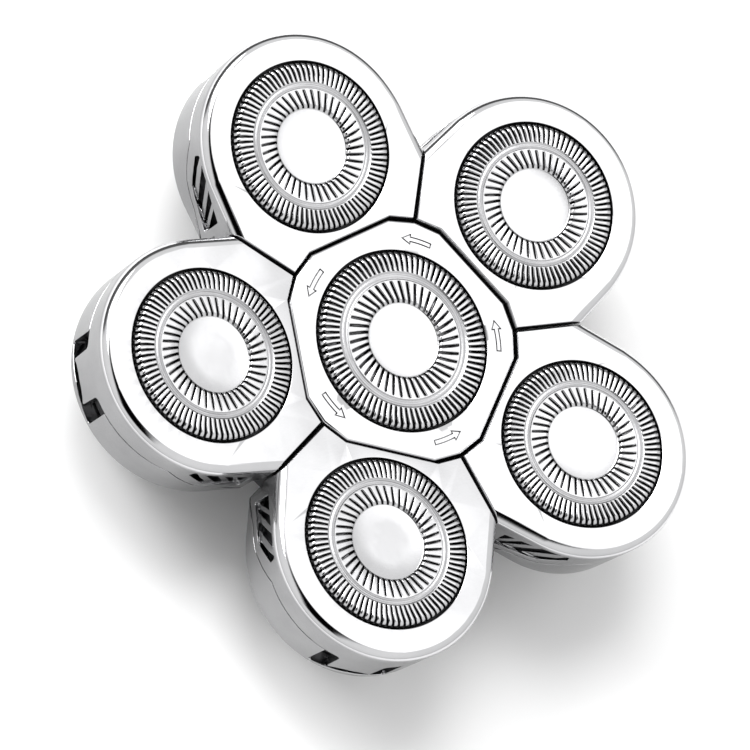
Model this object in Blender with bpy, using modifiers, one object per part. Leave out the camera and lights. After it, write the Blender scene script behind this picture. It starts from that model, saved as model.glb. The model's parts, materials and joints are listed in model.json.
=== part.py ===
"""Flower-shaped rotary shaver head: five tilting cutting heads around a sprung centre head.

Frame: metres, +Z is the drive axis and points to the shaving side. The origin is on the drive axis
at the plane of the rear collar's rim, which is what the head stands on. Petal 1 is on +Y, and the
others follow it counter-clockwise, 72 degrees apart.
"""
import math

import bpy
import bmesh
from mathutils import Matrix, Vector

MM = 0.001
NAME = "rotary_shaver_head"

# Layout of the five petals
PETALS = 5
STEP = math.radians(360 / PETALS)
HALF_STEP = STEP / 2
FOIL_RADIAL = 25.7 * MM          # foil centres from the drive axis
FACE_TILT = math.radians(5.4)    # petal faces lean in towards the centre
FACE_Z = 19.85 * MM              # petal face at its foil centre
SKIRT_Z = 10.9 * MM              # lower edge of the petals
SEAM_Z = 16.5 * MM               # joint line between cover and shell round the tip
SEAM_GAP = 0.15 * MM

# Plan outline of a petal
PETAL_ARC = 14.3 * MM
PETAL_INNER = 14.3 * MM          # straight inner edge, facing the centre head
INNER_HALF = 6.05 * MM
BORDER_START = 15.6 * MM         # radial borders run from here to the outer corner
BORDER_END = 24.7 * MM
BORDER_GAP = 0.4 * MM            # between neighbouring petals
ARC_STEPS = 12

# Walls
WALL = 1.2 * MM
INNER_WALL = 0.5 * MM
PLATE = 1.1 * MM
SHOULDER = 1.1 * MM              # rounding of the petal's outer edge
RELIEF = 0.7 * MM                # lower walls step back from the neighbours to clear the tilt
RELIEF_Z = 14.5 * MM
FLANGE_INSET = 2.6 * MM
FLANGE = 0.7 * MM
SHELL_START = 19.0 * MM          # the shell is a U, open towards the centre

# Latch at the tip and vents in the flanks
LATCH_HALF = 4.9 * MM
TAB_ROOT_HALF = 3.3 * MM
TAB_END_HALF = 2.75 * MM
TAB_END_Z = 12.75 * MM
LATCH_SILL_Z = 11.65 * MM
VENT_SLOTS = 4
VENT_PITCH = 2.15 * MM
VENT_SLOT = 1.0 * MM
VENT_LONG = 4.2 * MM
VENT_SHORT = 2.6 * MM            # the slot nearest the corner
VENT_SLANT = math.radians(30)
VENT_FIRST = 22.35 * MM          # radial place of the innermost slot
VENT_Z = 15.0 * MM
VENT_RISE = 0.33                 # the row of slots climbs towards the tip

# Foils: cap sizes, measured along the foil's own axis from the face
OPENING = 10.6 * MM
FOIL_WALL = 10.3 * MM
CENTRE_OPENING = 11.35 * MM
CENTRE_FOIL_WALL = 11.05 * MM
FOIL_RISE = 0.56 * MM
FOIL_DISC = 4.62 * MM            # sunken middle, ringed by the inner slots
FOIL_DISC_RISE = 0.28 * MM
SHEET = 0.4 * MM
FOIL_FLANGE = 1.0 * MM
FOIL_STEPS = 24

# Retainer, the inner tray behind each face
TRAY_INSET = 1.6 * MM
TRAY_WALL = 0.9 * MM
TRAY_TOP = 2.2 * MM
TRAY_PLATE = 0.9 * MM
TRAY_BOTTOM_Z = 11.95 * MM
HUB_HOLE = 3.8 * MM

# Cutters and spindles
CUTTER_DISC = 9.0 * MM
CUTTER_TOP = 0.05 * MM
BLADES = 6
HUB = 3.0 * MM
HUB_DEPTH = 4.2 * MM
SOCKET = 2.35 * MM
HEAD = 1.7 * MM
ROD = 1.4 * MM
BORE = 1.75 * MM
HEAD_DEPTH = 3.3 * MM            # middle of the spindle's head below the face
HEAD_HEIGHT = 1.2 * MM
COLLAR = 2.3 * MM

# Hinges of the petals
HINGE_RADIAL = 16.6 * MM
HINGE_Z = 14.6 * MM
PIN = 0.75 * MM
PIN_HOLE = 0.85 * MM
LUG_HALF = 2.3 * MM
POST_IN = 2.7 * MM
POST_OUT = 3.9 * MM

# Centre head
CENTRE_FACE_Z = 18.4 * MM
CENTRE_CORNER = 15.1 * MM
CENTRE_BULGE = 15.3 * MM
CENTRE_CORNER_ANGLE = math.radians(22.6)
CENTRE_SKIRT_Z = 14.6 * MM
GUIDE_OUT = 11.6 * MM
GUIDE_IN = 10.6 * MM
GUIDE_Z = 11.0 * MM
TOWER_OUT = 10.3 * MM
TOWER_IN = 9.2 * MM
TOWER_Z = 14.0 * MM

# Gearbox
MODULE = 1.0 * MM
SUN_TEETH = 36
PLANET_TEETH = 16
GEAR_RADIAL = MODULE * (SUN_TEETH + PLANET_TEETH) / 2
ADDENDUM = 0.8 * MM
DEDENDUM = 1.15 * MM
BACKLASH = 0.2 * MM
PRESSURE = math.radians(20)
GEAR_Z0 = 6.2 * MM
GEAR_Z1 = 8.0 * MM
FLOOR_Z0 = 4.6 * MM
FLOOR_Z1 = 5.8 * MM
LID_Z0 = 8.3 * MM
LID_Z1 = 9.3 * MM
CORE = 20.6 * MM                 # round middle of the gearbox
LOBE = 10.4 * MM                 # lobes round the planet gears
BOX_WALL = 1.2 * MM
TUBE = 2.4 * MM
TUBE_Z = 10.4 * MM
SCREW_RADIAL = 21.6 * MM
SCREW_ANGLE = math.radians(25)
SCREW_BOSS = 1.7 * MM
SCREW_SHANK = 0.8 * MM
SCREW_HOLE = 0.9 * MM

# Rear collar and drive boss
COLLAR_OUT = 14.5 * MM
COLLAR_IN = 12.3 * MM
COLLAR_Z = 4.3 * MM
LUGS = 3
BOSS = 3.4 * MM
BOSS_SPLINES = 6
BOSS_Z = 0.25 * MM

# Springs
WIRE = 0.18 * MM
COIL = 1.86 * MM
TURNS = 3.0
POINTS_PER_TURN = 7

MATERIALS = {
    "chrome": ((0.86, 0.87, 0.88), 0.10, 1.0),
    "foil_steel": ((0.80, 0.81, 0.82), 0.18, 1.0),
    "cutter_steel": ((0.55, 0.56, 0.57), 0.32, 1.0),
    "spring_steel": ((0.48, 0.48, 0.50), 0.30, 1.0),
    "tray_plastic": ((0.055, 0.055, 0.058), 0.45, 0.0),
    "gearbox_plastic": ((0.030, 0.030, 0.032), 0.50, 0.0),
    "gear_acetal": ((0.78, 0.78, 0.74), 0.42, 0.0),
    "screw_steel": ((0.60, 0.60, 0.62), 0.28, 1.0),
}


# ---------------------------------------------------------------- scene and helpers

def clear_scene():
    for obj in list(bpy.data.objects):
        bpy.data.objects.remove(obj, do_unlink=True)


def new_collection(name):
    collection = bpy.data.collections.new(name)
    bpy.context.scene.collection.children.link(collection)
    return collection


def make_material(name, color, roughness, metallic):
    material = bpy.data.materials.new(name)
    material.use_nodes = True
    shader = material.node_tree.nodes["Principled BSDF"]
    shader.inputs["Base Color"].default_value = (*color, 1.0)
    shader.inputs["Roughness"].default_value = roughness
    shader.inputs["Metallic"].default_value = metallic
    return material


def bench_object(mesh):
    """A working object in the cutters' collection, hidden from the render."""
    obj = bpy.data.objects.new("cutter", mesh)
    CUTTERS.objects.link(obj)
    obj.hide_render = True
    obj.display_type = "WIRE"
    return obj


def from_bmesh(bm):
    mesh = bpy.data.meshes.new("work")
    bmesh.ops.recalc_face_normals(bm, faces=bm.faces)
    bm.to_mesh(mesh)
    bm.free()
    return bench_object(mesh)


def bake(obj):
    """Replace an object's mesh by its evaluated mesh and drop the modifiers."""
    bpy.context.view_layer.update()
    depsgraph = bpy.context.evaluated_depsgraph_get()
    mesh = bpy.data.meshes.new_from_object(obj.evaluated_get(depsgraph))
    obj.modifiers.clear()
    obj.data = mesh
    return obj


def combine(target, operation, *tools):
    """Boolean the tools into the target one after another, then remove them."""
    for tool in tools:
        modifier = target.modifiers.new("boolean", "BOOLEAN")
        modifier.operation = operation
        modifier.object = tool
        modifier.solver = "EXACT"
    bake(target)
    for tool in tools:
        bpy.data.objects.remove(tool, do_unlink=True)
    return target


def cut(target, *tools):
    return combine(target, "DIFFERENCE", *tools)


def join(target, *tools):
    return combine(target, "UNION", *tools)


def level(z):
    return lambda x, y: z


def face_plane(drop):
    """Height of the tilted petal face, lowered by drop, above a point of the plan."""
    return lambda x, y: FACE_Z - drop / math.cos(FACE_TILT) + (y - FOIL_RADIAL) * math.tan(FACE_TILT)


def prism(outline, bottom, top):
    """Upright prism on a plan outline between two surfaces given as functions of x and y."""
    bm = bmesh.new()
    base = bm.faces.new([bm.verts.new((x, y, bottom(x, y))) for x, y in outline])
    moved = bmesh.ops.extrude_face_region(bm, geom=[base])
    for item in moved["geom"]:
        if isinstance(item, bmesh.types.BMVert):
            item.co.z = top(item.co.x, item.co.y)
    return from_bmesh(bm)


def flat_prism(outline, z0, z1):
    return prism(outline, level(z0), level(z1))


def side_prism(outline, half_width):
    """Prism along X on an outline given as (y, z) pairs."""
    bm = bmesh.new()
    base = bm.faces.new([bm.verts.new((-half_width, y, z)) for y, z in outline])
    moved = bmesh.ops.extrude_face_region(bm, geom=[base])
    for item in moved["geom"]:
        if isinstance(item, bmesh.types.BMVert):
            item.co.x = half_width
    return from_bmesh(bm)


def block(x0, x1, y0, y1, z0, z1):
    return flat_prism([(x0, y0), (x1, y0), (x1, y1), (x0, y1)], z0, z1)


def cylinder(radius, z0, z1, x=0.0, y=0.0, sides=24, turn=0.0):
    bm = bmesh.new()
    place = Matrix.Translation((x, y, (z0 + z1) / 2)) @ Matrix.Rotation(turn, 4, "Z")
    bmesh.ops.create_cone(bm, cap_ends=True, segments=sides, radius1=radius, radius2=radius,
                          depth=z1 - z0, matrix=place)
    return from_bmesh(bm)


def cross_cylinder(radius, x0, x1, y, z, sides=10):
    """Cylinder along X."""
    bm = bmesh.new()
    place = Matrix.Translation(((x0 + x1) / 2, y, z)) @ Matrix.Rotation(math.pi / 2, 4, "Y")
    bmesh.ops.create_cone(bm, cap_ends=True, segments=sides, radius1=radius, radius2=radius,
                          depth=x1 - x0, matrix=place)
    return from_bmesh(bm)


def turned(profile, steps):
    """Solid of revolution from an open profile of (radius, height) pairs, top to bottom."""
    mesh = bpy.data.meshes.new("profile")
    count = len(profile)
    mesh.from_pydata([(r, 0, z) for r, z in profile], [(i, i + 1) for i in range(count - 1)], [])
    obj = bench_object(mesh)
    screw = obj.modifiers.new("screw", "SCREW")
    screw.steps = steps
    screw.render_steps = steps
    screw.use_merge_vertices = True
    screw.merge_threshold = 0.000001
    bake(obj)
    bm = bmesh.new()
    bm.from_mesh(obj.data)
    bmesh.ops.remove_doubles(bm, verts=bm.verts, dist=0.000001)
    bmesh.ops.recalc_face_normals(bm, faces=bm.faces)
    bm.to_mesh(obj.data)
    bm.free()
    return obj


def ring(inner, outer, z0, z1, steps=28):
    tube = cylinder(outer, z0, z1, sides=steps)
    return cut(tube, cylinder(inner, z0 - MM, z1 + MM, sides=steps))


def finish_mesh(obj, name):
    """Take the mesh off the bench with flat areas merged, smooth, and its corners kept sharp."""
    mesh = obj.data
    mesh.name = name
    bm = bmesh.new()
    bm.from_mesh(mesh)
    bmesh.ops.dissolve_limit(bm, angle_limit=math.radians(0.5), verts=bm.verts, edges=bm.edges)
    bm.to_mesh(mesh)
    bm.free()
    mesh.shade_smooth()
    mesh.set_sharp_from_angle(angle=math.radians(32))
    bpy.data.objects.remove(obj, do_unlink=True)
    return mesh


def add_empty(name, matrix, parent=None):
    empty = bpy.data.objects.new(name, None)
    empty.empty_display_size = 2 * MM
    PARTS.objects.link(empty)
    empty.parent = parent
    empty.matrix_local = matrix
    return empty


def add_part(name, mesh, material, parent, matrix=None):
    obj = bpy.data.objects.new(name, mesh)
    PARTS.objects.link(obj)
    obj.parent = parent
    obj.matrix_local = matrix or Matrix.Identity(4)
    if not mesh.materials:
        mesh.materials.append(material)
    return obj


# ---------------------------------------------------------------- outlines

def crossing(p, d, q, e):
    """Where the line through p along d meets the line through q along e."""
    scale = d[0] * e[1] - d[1] * e[0]
    t = ((q[0] - p[0]) * e[1] - (q[1] - p[1]) * e[0]) / scale
    return (p[0] + t * d[0], p[1] + t * d[1])


def border_point(radius, inset):
    gap = BORDER_GAP / 2 + inset
    return (radius * math.sin(HALF_STEP) - gap * math.cos(HALF_STEP),
            radius * math.cos(HALF_STEP) + gap * math.sin(HALF_STEP))


def flank_angle():
    """Angle at the foil centre where the flank leaves the tip's arc."""
    x, y = border_point(BORDER_END, 0.0)
    dx, dy = x, y - FOIL_RADIAL
    return math.atan2(dy, dx) + math.acos(PETAL_ARC / math.hypot(dx, dy))


def petal_outline(outer=0.0, border=0.0, inner=0.0, steps=ARC_STEPS):
    """Plan of a petal, counter-clockwise, with its outer, border and inner edges moved inwards."""
    start = flank_angle()
    radius = PETAL_ARC - outer
    along = (math.sin(HALF_STEP), math.cos(HALF_STEP))
    chord_end = border_point(BORDER_START, 0.0)
    chord = (chord_end[0] - INNER_HALF, chord_end[1] - PETAL_INNER)
    chord_start = (INNER_HALF, PETAL_INNER + inner)
    tangent_point = (radius * math.cos(start), FOIL_RADIAL + radius * math.sin(start))
    tangent = (-math.sin(start), math.cos(start))
    border_at = border_point(BORDER_START, border)
    half = [chord_start,
            crossing(chord_start, chord, border_at, along),
            crossing(border_at, along, tangent_point, tangent)]
    for i in range(steps + 1):
        angle = start + (math.pi / 2 - start) * i / steps
        half.append((radius * math.cos(angle), FOIL_RADIAL + radius * math.sin(angle)))
    return half + [(-x, y) for x, y in reversed(half[:-1])]


def centre_outline(inset=0.0):
    """Plan of the centre head: five straight edges towards the petals, joined by shallow bulges."""
    points = []
    for k in range(PETALS):
        axis = math.pi / 2 + k * STEP
        points.append((axis - CENTRE_CORNER_ANGLE, CENTRE_CORNER))
        points.append((axis + CENTRE_CORNER_ANGLE, CENTRE_CORNER))
        points.append((axis + HALF_STEP, CENTRE_BULGE))
    return [((r - inset) * math.cos(a), (r - inset) * math.sin(a)) for a, r in points]


def seam_line(drop):
    """Height of the cover's lower edge along the petal, as (y, z) pairs from the centre outwards."""
    return [(10 * MM, 11.75 * MM - drop), (20.1 * MM, 11.75 * MM - drop),
            (29.2 * MM, 14.1 * MM - drop), (30.9 * MM, 15.3 * MM - drop),
            (32.4 * MM, SEAM_Z - drop), (45 * MM, SEAM_Z - drop)]


# ---------------------------------------------------------------- petal pieces, in the petal's frame

def relief():
    """What the lower walls leave free beside the neighbours and the centre head."""
    wide = block(-30 * MM, 30 * MM, 5 * MM, 45 * MM, 5 * MM, RELIEF_Z)
    far = 60 * MM
    start = PETAL_INNER + RELIEF
    tan = math.tan(HALF_STEP)
    shift = (BORDER_GAP / 2 + RELIEF) / math.cos(HALF_STEP)
    kept = [(start * tan - shift, start), (far * tan - shift, far)]
    outline = kept + [(-x, y) for x, y in reversed(kept)]
    return cut(wide, flat_prism(outline, 4 * MM, RELIEF_Z + MM))


def tilted_cylinder(radius, low, high, sides):
    """Cylinder on the foil's axis; low and high are measured along it from the face."""
    tool = cylinder(radius, low, high, sides=sides)
    tool.data.transform(foil_matrix())
    return tool


def foil_matrix():
    return (Matrix.Translation((0, FOIL_RADIAL, FACE_Z)) @ Matrix.Rotation(FACE_TILT, 4, "X"))


def vent_slots(side):
    """Slanted slots through one flank of the cover."""
    tools = []
    for i in range(VENT_SLOTS):
        y = VENT_FIRST + i * VENT_PITCH
        length = VENT_LONG if i else VENT_SHORT
        bm = bmesh.new()
        bmesh.ops.create_cube(bm, size=1.0)
        place = (Matrix.Translation((side * (PETAL_ARC - 0.4 * MM), y, VENT_Z + i * VENT_PITCH * VENT_RISE))
                 @ Matrix.Rotation(-VENT_SLANT, 4, "X")
                 @ Matrix.Diagonal((5 * MM, VENT_SLOT, length, 1)))
        bmesh.ops.transform(bm, matrix=place, verts=bm.verts)
        tools.append(from_bmesh(bm))
    return tools


def round_top(obj, width, rim):
    """Bevel the upper rim of a prism: rim says how far each edge is rounded, 0 to 1."""
    bm = bmesh.new()
    bm.from_mesh(obj.data)
    weights = bm.edges.layers.float.new("bevel_weight_edge")
    top = max(bm.faces, key=lambda face: face.normal.z)
    for edge in top.edges:
        middle = (edge.verts[0].co + edge.verts[1].co) / 2
        edge[weights] = rim(middle)
    bm.to_mesh(obj.data)
    bm.free()
    bevel = obj.modifiers.new("bevel", "BEVEL")
    bevel.limit_method = "WEIGHT"
    bevel.width = width
    bevel.segments = 2
    return bake(obj)


def petal_rim(middle):
    """Full shoulder round the tip and flanks, a fine edge on the borders."""
    x, y = border_point(BORDER_END, 0.0)
    return 1.0 if middle.y > y else 0.2


def petal_cover():
    body = prism(petal_outline(), level(SKIRT_Z), face_plane(0.0))
    round_top(body, SHOULDER, petal_rim)
    hollow = petal_outline(outer=WALL, border=WALL, inner=INNER_WALL)
    seam = seam_line(0.0)
    below = side_prism([(10 * MM, 5 * MM)] + seam + [(45 * MM, 5 * MM)], 30 * MM)
    cut(below, latch_tab())
    cut(body,
        prism(hollow, level(5 * MM), face_plane(PLATE)),
        tilted_cylinder(OPENING, -3 * MM, 2 * MM, 36),
        below, relief(), *vent_slots(1), *vent_slots(-1))
    return finish_mesh(body, "petal_cover")


def latch_tab():
    """The tongue of the cover that hangs into the shell's opening."""
    outline = [(-TAB_ROOT_HALF, SEAM_Z + MM), (-TAB_ROOT_HALF, SEAM_Z), (-TAB_END_HALF, TAB_END_Z),
               (TAB_END_HALF, TAB_END_Z), (TAB_ROOT_HALF, SEAM_Z), (TAB_ROOT_HALF, SEAM_Z + MM)]
    bm = bmesh.new()
    base = bm.faces.new([bm.verts.new((x, 36 * MM, z)) for x, z in outline])
    moved = bmesh.ops.extrude_face_region(bm, geom=[base])
    for item in moved["geom"]:
        if isinstance(item, bmesh.types.BMVert):
            item.co.y = 44 * MM
    return from_bmesh(bm)


def petal_shell():
    body = flat_prism(petal_outline(), SKIRT_Z, SEAM_Z + MM)
    hollow = petal_outline(outer=WALL, border=WALL, inner=WALL)
    floor = petal_outline(outer=FLANGE_INSET, border=FLANGE_INSET, inner=FLANGE_INSET)
    seam = seam_line(SEAM_GAP)
    above = side_prism(seam + [(45 * MM, 25 * MM), (10 * MM, 25 * MM)], 30 * MM)
    cut(body,
        flat_prism(hollow, SKIRT_Z + FLANGE, 25 * MM),
        flat_prism(floor, 5 * MM, 25 * MM),
        above, relief(),
        block(-LATCH_HALF, LATCH_HALF, 36 * MM, 45 * MM, LATCH_SILL_Z, 25 * MM),
        block(-30 * MM, 30 * MM, 5 * MM, SHELL_START, 5 * MM, 25 * MM))
    return finish_mesh(body, "petal_shell")


def cutter_retainer():
    """Inner tray: a plate under the foil, a skirt behind the shell, and the hinge lug."""
    inner = 1.0 * MM
    body = prism(petal_outline(TRAY_INSET, TRAY_INSET, inner), level(TRAY_BOTTOM_Z), face_plane(TRAY_TOP))
    inset = TRAY_INSET + TRAY_WALL
    hollow = prism(petal_outline(inset, inset, inset), level(5 * MM),
                   face_plane(TRAY_TOP + TRAY_PLATE))
    mouth = prism([(-30 * MM, 5 * MM), (30 * MM, 5 * MM), (30 * MM, SHELL_START), (-30 * MM, SHELL_START)],
                  level(5 * MM), face_plane(TRAY_TOP + TRAY_PLATE + 0.1 * MM))
    cut(body, hollow, mouth, tilted_cylinder(HUB_HOLE, -6 * MM, 2 * MM, 18))
    lug = prism([(-LUG_HALF, 15.6 * MM), (LUG_HALF, 15.6 * MM), (LUG_HALF, 17.6 * MM), (-LUG_HALF, 17.6 * MM)],
                level(13.6 * MM), face_plane(TRAY_TOP + TRAY_PLATE / 2))
    join(body, lug)
    cut(body, cross_cylinder(PIN_HOLE, -5 * MM, 5 * MM, HINGE_RADIAL, HINGE_Z))
    return finish_mesh(body, "cutter_retainer")


# ---------------------------------------------------------------- turned and driven pieces

def foil(wall, flange_cut=None):
    """Cap with a sunken middle disc. Heights are from the face along the foil's axis."""
    flange = wall + FOIL_FLANGE
    profile = [(0, FOIL_DISC_RISE), (FOIL_DISC, FOIL_DISC_RISE), (FOIL_DISC + 0.3 * MM, FOIL_RISE),
               (wall - 0.55 * MM, FOIL_RISE), (wall, 0.0), (wall, -1.4 * MM),
               (flange, -1.4 * MM), (flange, -1.9 * MM), (wall - 0.5 * MM, -1.9 * MM),
               (wall - 0.5 * MM, FOIL_RISE - SHEET), (FOIL_DISC + 0.3 * MM, FOIL_RISE - SHEET),
               (FOIL_DISC, FOIL_DISC_RISE - SHEET), (0, FOIL_DISC_RISE - SHEET)]
    body = turned(profile, FOIL_STEPS)
    if flange_cut is not None:
        cut(body, block(-20 * MM, 20 * MM, -20 * MM, flange_cut, -5 * MM, -0.9 * MM))
    return finish_mesh(body, "foil")


def cutter(disc):
    """Rotor with an outer and an inner ring of upright blades and a hexagon socket below."""
    body = cylinder(disc, -1.8 * MM, -1.0 * MM, sides=24)
    hub = cylinder(HUB, -HUB_DEPTH, -1.4 * MM, sides=14)
    bm = bmesh.new()
    for k in range(2 * BLADES):
        outer = k % 2 == 0
        low, high = (disc - 1.1 * MM, disc + 0.35 * MM) if outer else (5.4 * MM, disc - 2.2 * MM)
        turn = Matrix.Rotation(math.pi * k / BLADES, 4, "Z")
        size = Matrix.Diagonal((high - low, 0.4 * MM, CUTTER_TOP + 1.3 * MM, 1))
        shift = Matrix.Translation(((low + high) / 2, 0, (CUTTER_TOP - 1.3 * MM) / 2))
        lean = Matrix.Rotation(math.radians(9 if outer else 15), 4, "Z")
        bmesh.ops.create_cube(bm, size=1.0, matrix=turn @ shift @ lean @ size)
    blades = from_bmesh(bm)
    join(body, hub, blades)
    cut(body, cylinder(SOCKET, -HUB_DEPTH - MM, -2.0 * MM, sides=6))
    return finish_mesh(body, "cutter")


def spindle(face_z):
    """Telescoping drive rod: hexagon shank, spring collar, thin neck and hexagon head."""
    head_z = face_z - HEAD_DEPTH
    body = cylinder(ROD, 7.4 * MM, 11.5 * MM, sides=6)
    join(body,
         cylinder(1.0 * MM, 11.0 * MM, head_z, sides=10),
         cylinder(COLLAR, 13.2 * MM, 13.8 * MM, sides=14),
         cylinder(HEAD, head_z - HEAD_HEIGHT / 2, head_z + HEAD_HEIGHT / 2, sides=6))
    return finish_mesh(body, "spindle")


def spring(z0, z1):
    """Compression coil between two heights on the Z axis."""
    count = int(TURNS * POINTS_PER_TURN) + 1
    curve = bpy.data.curves.new("coil", "CURVE")
    curve.dimensions = "3D"
    curve.bevel_depth = WIRE
    curve.bevel_resolution = 2
    curve.use_fill_caps = True
    spline = curve.splines.new("POLY")
    spline.points.add(count - 1)
    for i, point in enumerate(spline.points):
        angle = 2 * math.pi * i / POINTS_PER_TURN
        z = z0 + WIRE + (z1 - z0 - 2 * WIRE) * i / (count - 1)
        point.co = (COIL * math.cos(angle), COIL * math.sin(angle), z, 1)
    source = bpy.data.objects.new("coil", curve)
    CUTTERS.objects.link(source)
    bpy.context.view_layer.update()
    depsgraph = bpy.context.evaluated_depsgraph_get()
    mesh = bpy.data.meshes.new_from_object(source.evaluated_get(depsgraph))
    bpy.data.objects.remove(source, do_unlink=True)
    bm = bmesh.new()
    bm.from_mesh(mesh)
    bmesh.ops.remove_doubles(bm, verts=bm.verts, dist=0.000001)
    return finish_mesh(from_bmesh(bm), "spring")


def involute(angle):
    return math.tan(angle) - angle


def gear_outline(teeth):
    """Involute gear outline with a tooth centred on +X."""
    pitch = MODULE * teeth / 2
    base = pitch * math.cos(PRESSURE)
    half = (math.pi * MODULE / 2 - BACKLASH) / (2 * pitch) + involute(PRESSURE)
    flank = []
    for radius in (pitch - DEDENDUM, pitch + ADDENDUM):
        reach = max(radius, base)
        flank.append((radius, half - involute(math.acos(base / reach))))
    points = []
    for k in range(teeth):
        centre = 2 * math.pi * k / teeth
        tooth = [(r, centre - a) for r, a in flank] + [(r, centre + a) for r, a in reversed(flank)]
        points += [(r * math.cos(a), r * math.sin(a)) for r, a in tooth]
    return points


def planet_gear():
    body = flat_prism(gear_outline(PLANET_TEETH), GEAR_Z0, GEAR_Z1)
    join(body, cylinder(TUBE, GEAR_Z1 - 0.5 * MM, TUBE_Z - 0.8 * MM, sides=14),
         cylinder(1.6 * MM, 5.1 * MM, GEAR_Z0 + 0.5 * MM, sides=12))
    cut(body, cylinder(BORE, 5.9 * MM, 12 * MM, sides=6))
    return finish_mesh(body, "planet_gear")


def sun_gear():
    """Central gear, moulded in one with the splined boss that the handle turns."""
    body = flat_prism(gear_outline(SUN_TEETH), GEAR_Z0, GEAR_Z1)
    spline = []
    for k in range(4 * BOSS_SPLINES):
        radius = BOSS if k % 4 < 2 else BOSS - 0.7 * MM
        angle = 2 * math.pi * (k - 0.5) / (4 * BOSS_SPLINES)
        spline.append((radius * math.cos(angle), radius * math.sin(angle)))
    join(body, flat_prism(spline, BOSS_Z, GEAR_Z0 + 0.5 * MM),
         cylinder(TUBE, GEAR_Z1 - 0.5 * MM, TUBE_Z - 0.8 * MM, sides=20))
    pockets = []
    for k in range(PETALS):
        angle = HALF_STEP + k * STEP
        pockets.append(cylinder(4.2 * MM, GEAR_Z0 + 0.8 * MM, GEAR_Z1 + MM,
                                11 * MM * math.cos(angle), 11 * MM * math.sin(angle), sides=12))
    cut(body, cylinder(BORE, 6.2 * MM, 12 * MM, sides=6), *pockets)
    return finish_mesh(body, "sun_gear")


# ---------------------------------------------------------------- centre head and gearbox

def centre_frame():
    body = flat_prism(centre_outline(), CENTRE_SKIRT_Z, CENTRE_FACE_Z)
    round_top(body, 0.5 * MM, lambda middle: 1.0)
    cut(body,
        flat_prism(centre_outline(1.0 * MM), 5 * MM, CENTRE_FACE_Z - PLATE),
        cylinder(CENTRE_OPENING, 5 * MM, 25 * MM, sides=40))
    return finish_mesh(body, "centre_frame")


def centre_retainer():
    top = CENTRE_FACE_Z - TRAY_TOP
    body = cylinder(12.5 * MM, top - TRAY_PLATE, top, sides=28)
    join(body, cylinder(GUIDE_OUT, GUIDE_Z, top - TRAY_PLATE / 2, sides=28))
    cut(body, cylinder(GUIDE_IN, 5 * MM, top - TRAY_PLATE, sides=28),
        cylinder(HUB_HOLE, 5 * MM, 25 * MM, sides=24))
    return finish_mesh(body, "centre_retainer")


def around(count, radius, phase):
    return [(radius * math.cos(phase + 2 * math.pi * k / count),
             radius * math.sin(phase + 2 * math.pi * k / count)) for k in range(count)]


def planet_places():
    return around(PETALS, GEAR_RADIAL, math.pi / 2)


def screw_places():
    return around(PETALS, SCREW_RADIAL, math.pi / 2 - SCREW_ANGLE)


def box_body(grow, z0, z1):
    """Flower-shaped body of the gearbox: round core, five lobes and five screw bosses."""
    body = cylinder(CORE + grow, z0, z1, sides=32)
    lobes = [cylinder(LOBE + grow, z0, z1, x, y, sides=18) for x, y in planet_places()]
    return join(body, *lobes)


def screw_bosses(z0, z1):
    return [cylinder(SCREW_BOSS, z0, z1, x, y, sides=10) for x, y in screw_places()]


def gearbox_base():
    body = join(box_body(0.0, FLOOR_Z0, LID_Z0 - 0.3 * MM), *screw_bosses(FLOOR_Z0, LID_Z0 - 0.3 * MM))
    cavity = cut(box_body(-BOX_WALL, FLOOR_Z1, 12 * MM), *screw_bosses(5 * MM, 13 * MM))
    cut(body, cavity, cylinder(BOSS + 0.1 * MM, 4 * MM, 6.5 * MM, sides=32),
        *[cylinder(1.7 * MM, 4.9 * MM, 6.5 * MM, x, y, sides=12) for x, y in planet_places()],
        *[cylinder(SCREW_HOLE, 4 * MM, 12 * MM, x, y, sides=8) for x, y in screw_places()])
    return finish_mesh(body, "gearbox_base")


def gearbox_cover():
    """Lid with the centre head's guide tower and a pair of hinge posts for each petal."""
    body = join(box_body(0.0, LID_Z0, LID_Z1), *screw_bosses(LID_Z0, LID_Z1))
    join(body, ring(TOWER_IN, TOWER_OUT, LID_Z1 - 0.3 * MM, TOWER_Z))
    for k in range(PETALS):
        turn = Matrix.Rotation(k * STEP, 4, "Z")
        for side in (-1, 1):
            x0, x1 = sorted((side * POST_IN, side * POST_OUT))
            post = block(x0, x1, HINGE_RADIAL - 1.1 * MM, HINGE_RADIAL + 1.1 * MM,
                         LID_Z1 - 0.3 * MM, HINGE_Z + 0.95 * MM)
            cut(post, cross_cylinder(PIN_HOLE, -5 * MM, 5 * MM, HINGE_RADIAL, HINGE_Z))
            post.data.transform(turn)
            join(body, post)
    cut(body, cylinder(TUBE + 0.2 * MM, 5 * MM, 12 * MM, sides=14),
        *[cylinder(TUBE + 0.2 * MM, 5 * MM, 12 * MM, x, y, 14, 0.1) for x, y in planet_places()],
        *[cylinder(SCREW_HOLE, 5 * MM, 12 * MM, x, y, 8, 0.1) for x, y in screw_places()])
    return finish_mesh(body, "gearbox_cover")


def lock_collar():
    """Rear ring with three bayonet lugs, which plugs onto the handle."""
    body = ring(COLLAR_IN, COLLAR_OUT, 0.0, COLLAR_Z, 40)
    lugs = []
    for k in range(LUGS):
        lug = block(COLLAR_IN - 1.0 * MM, COLLAR_IN + 0.6 * MM, -2 * MM, 2 * MM, 1.0 * MM, 2.2 * MM)
        lug.data.transform(Matrix.Rotation(math.radians(30) + 2 * math.pi * k / LUGS, 4, "Z"))
        lugs.append(lug)
    return finish_mesh(join(body, *lugs), "lock_collar")


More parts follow.
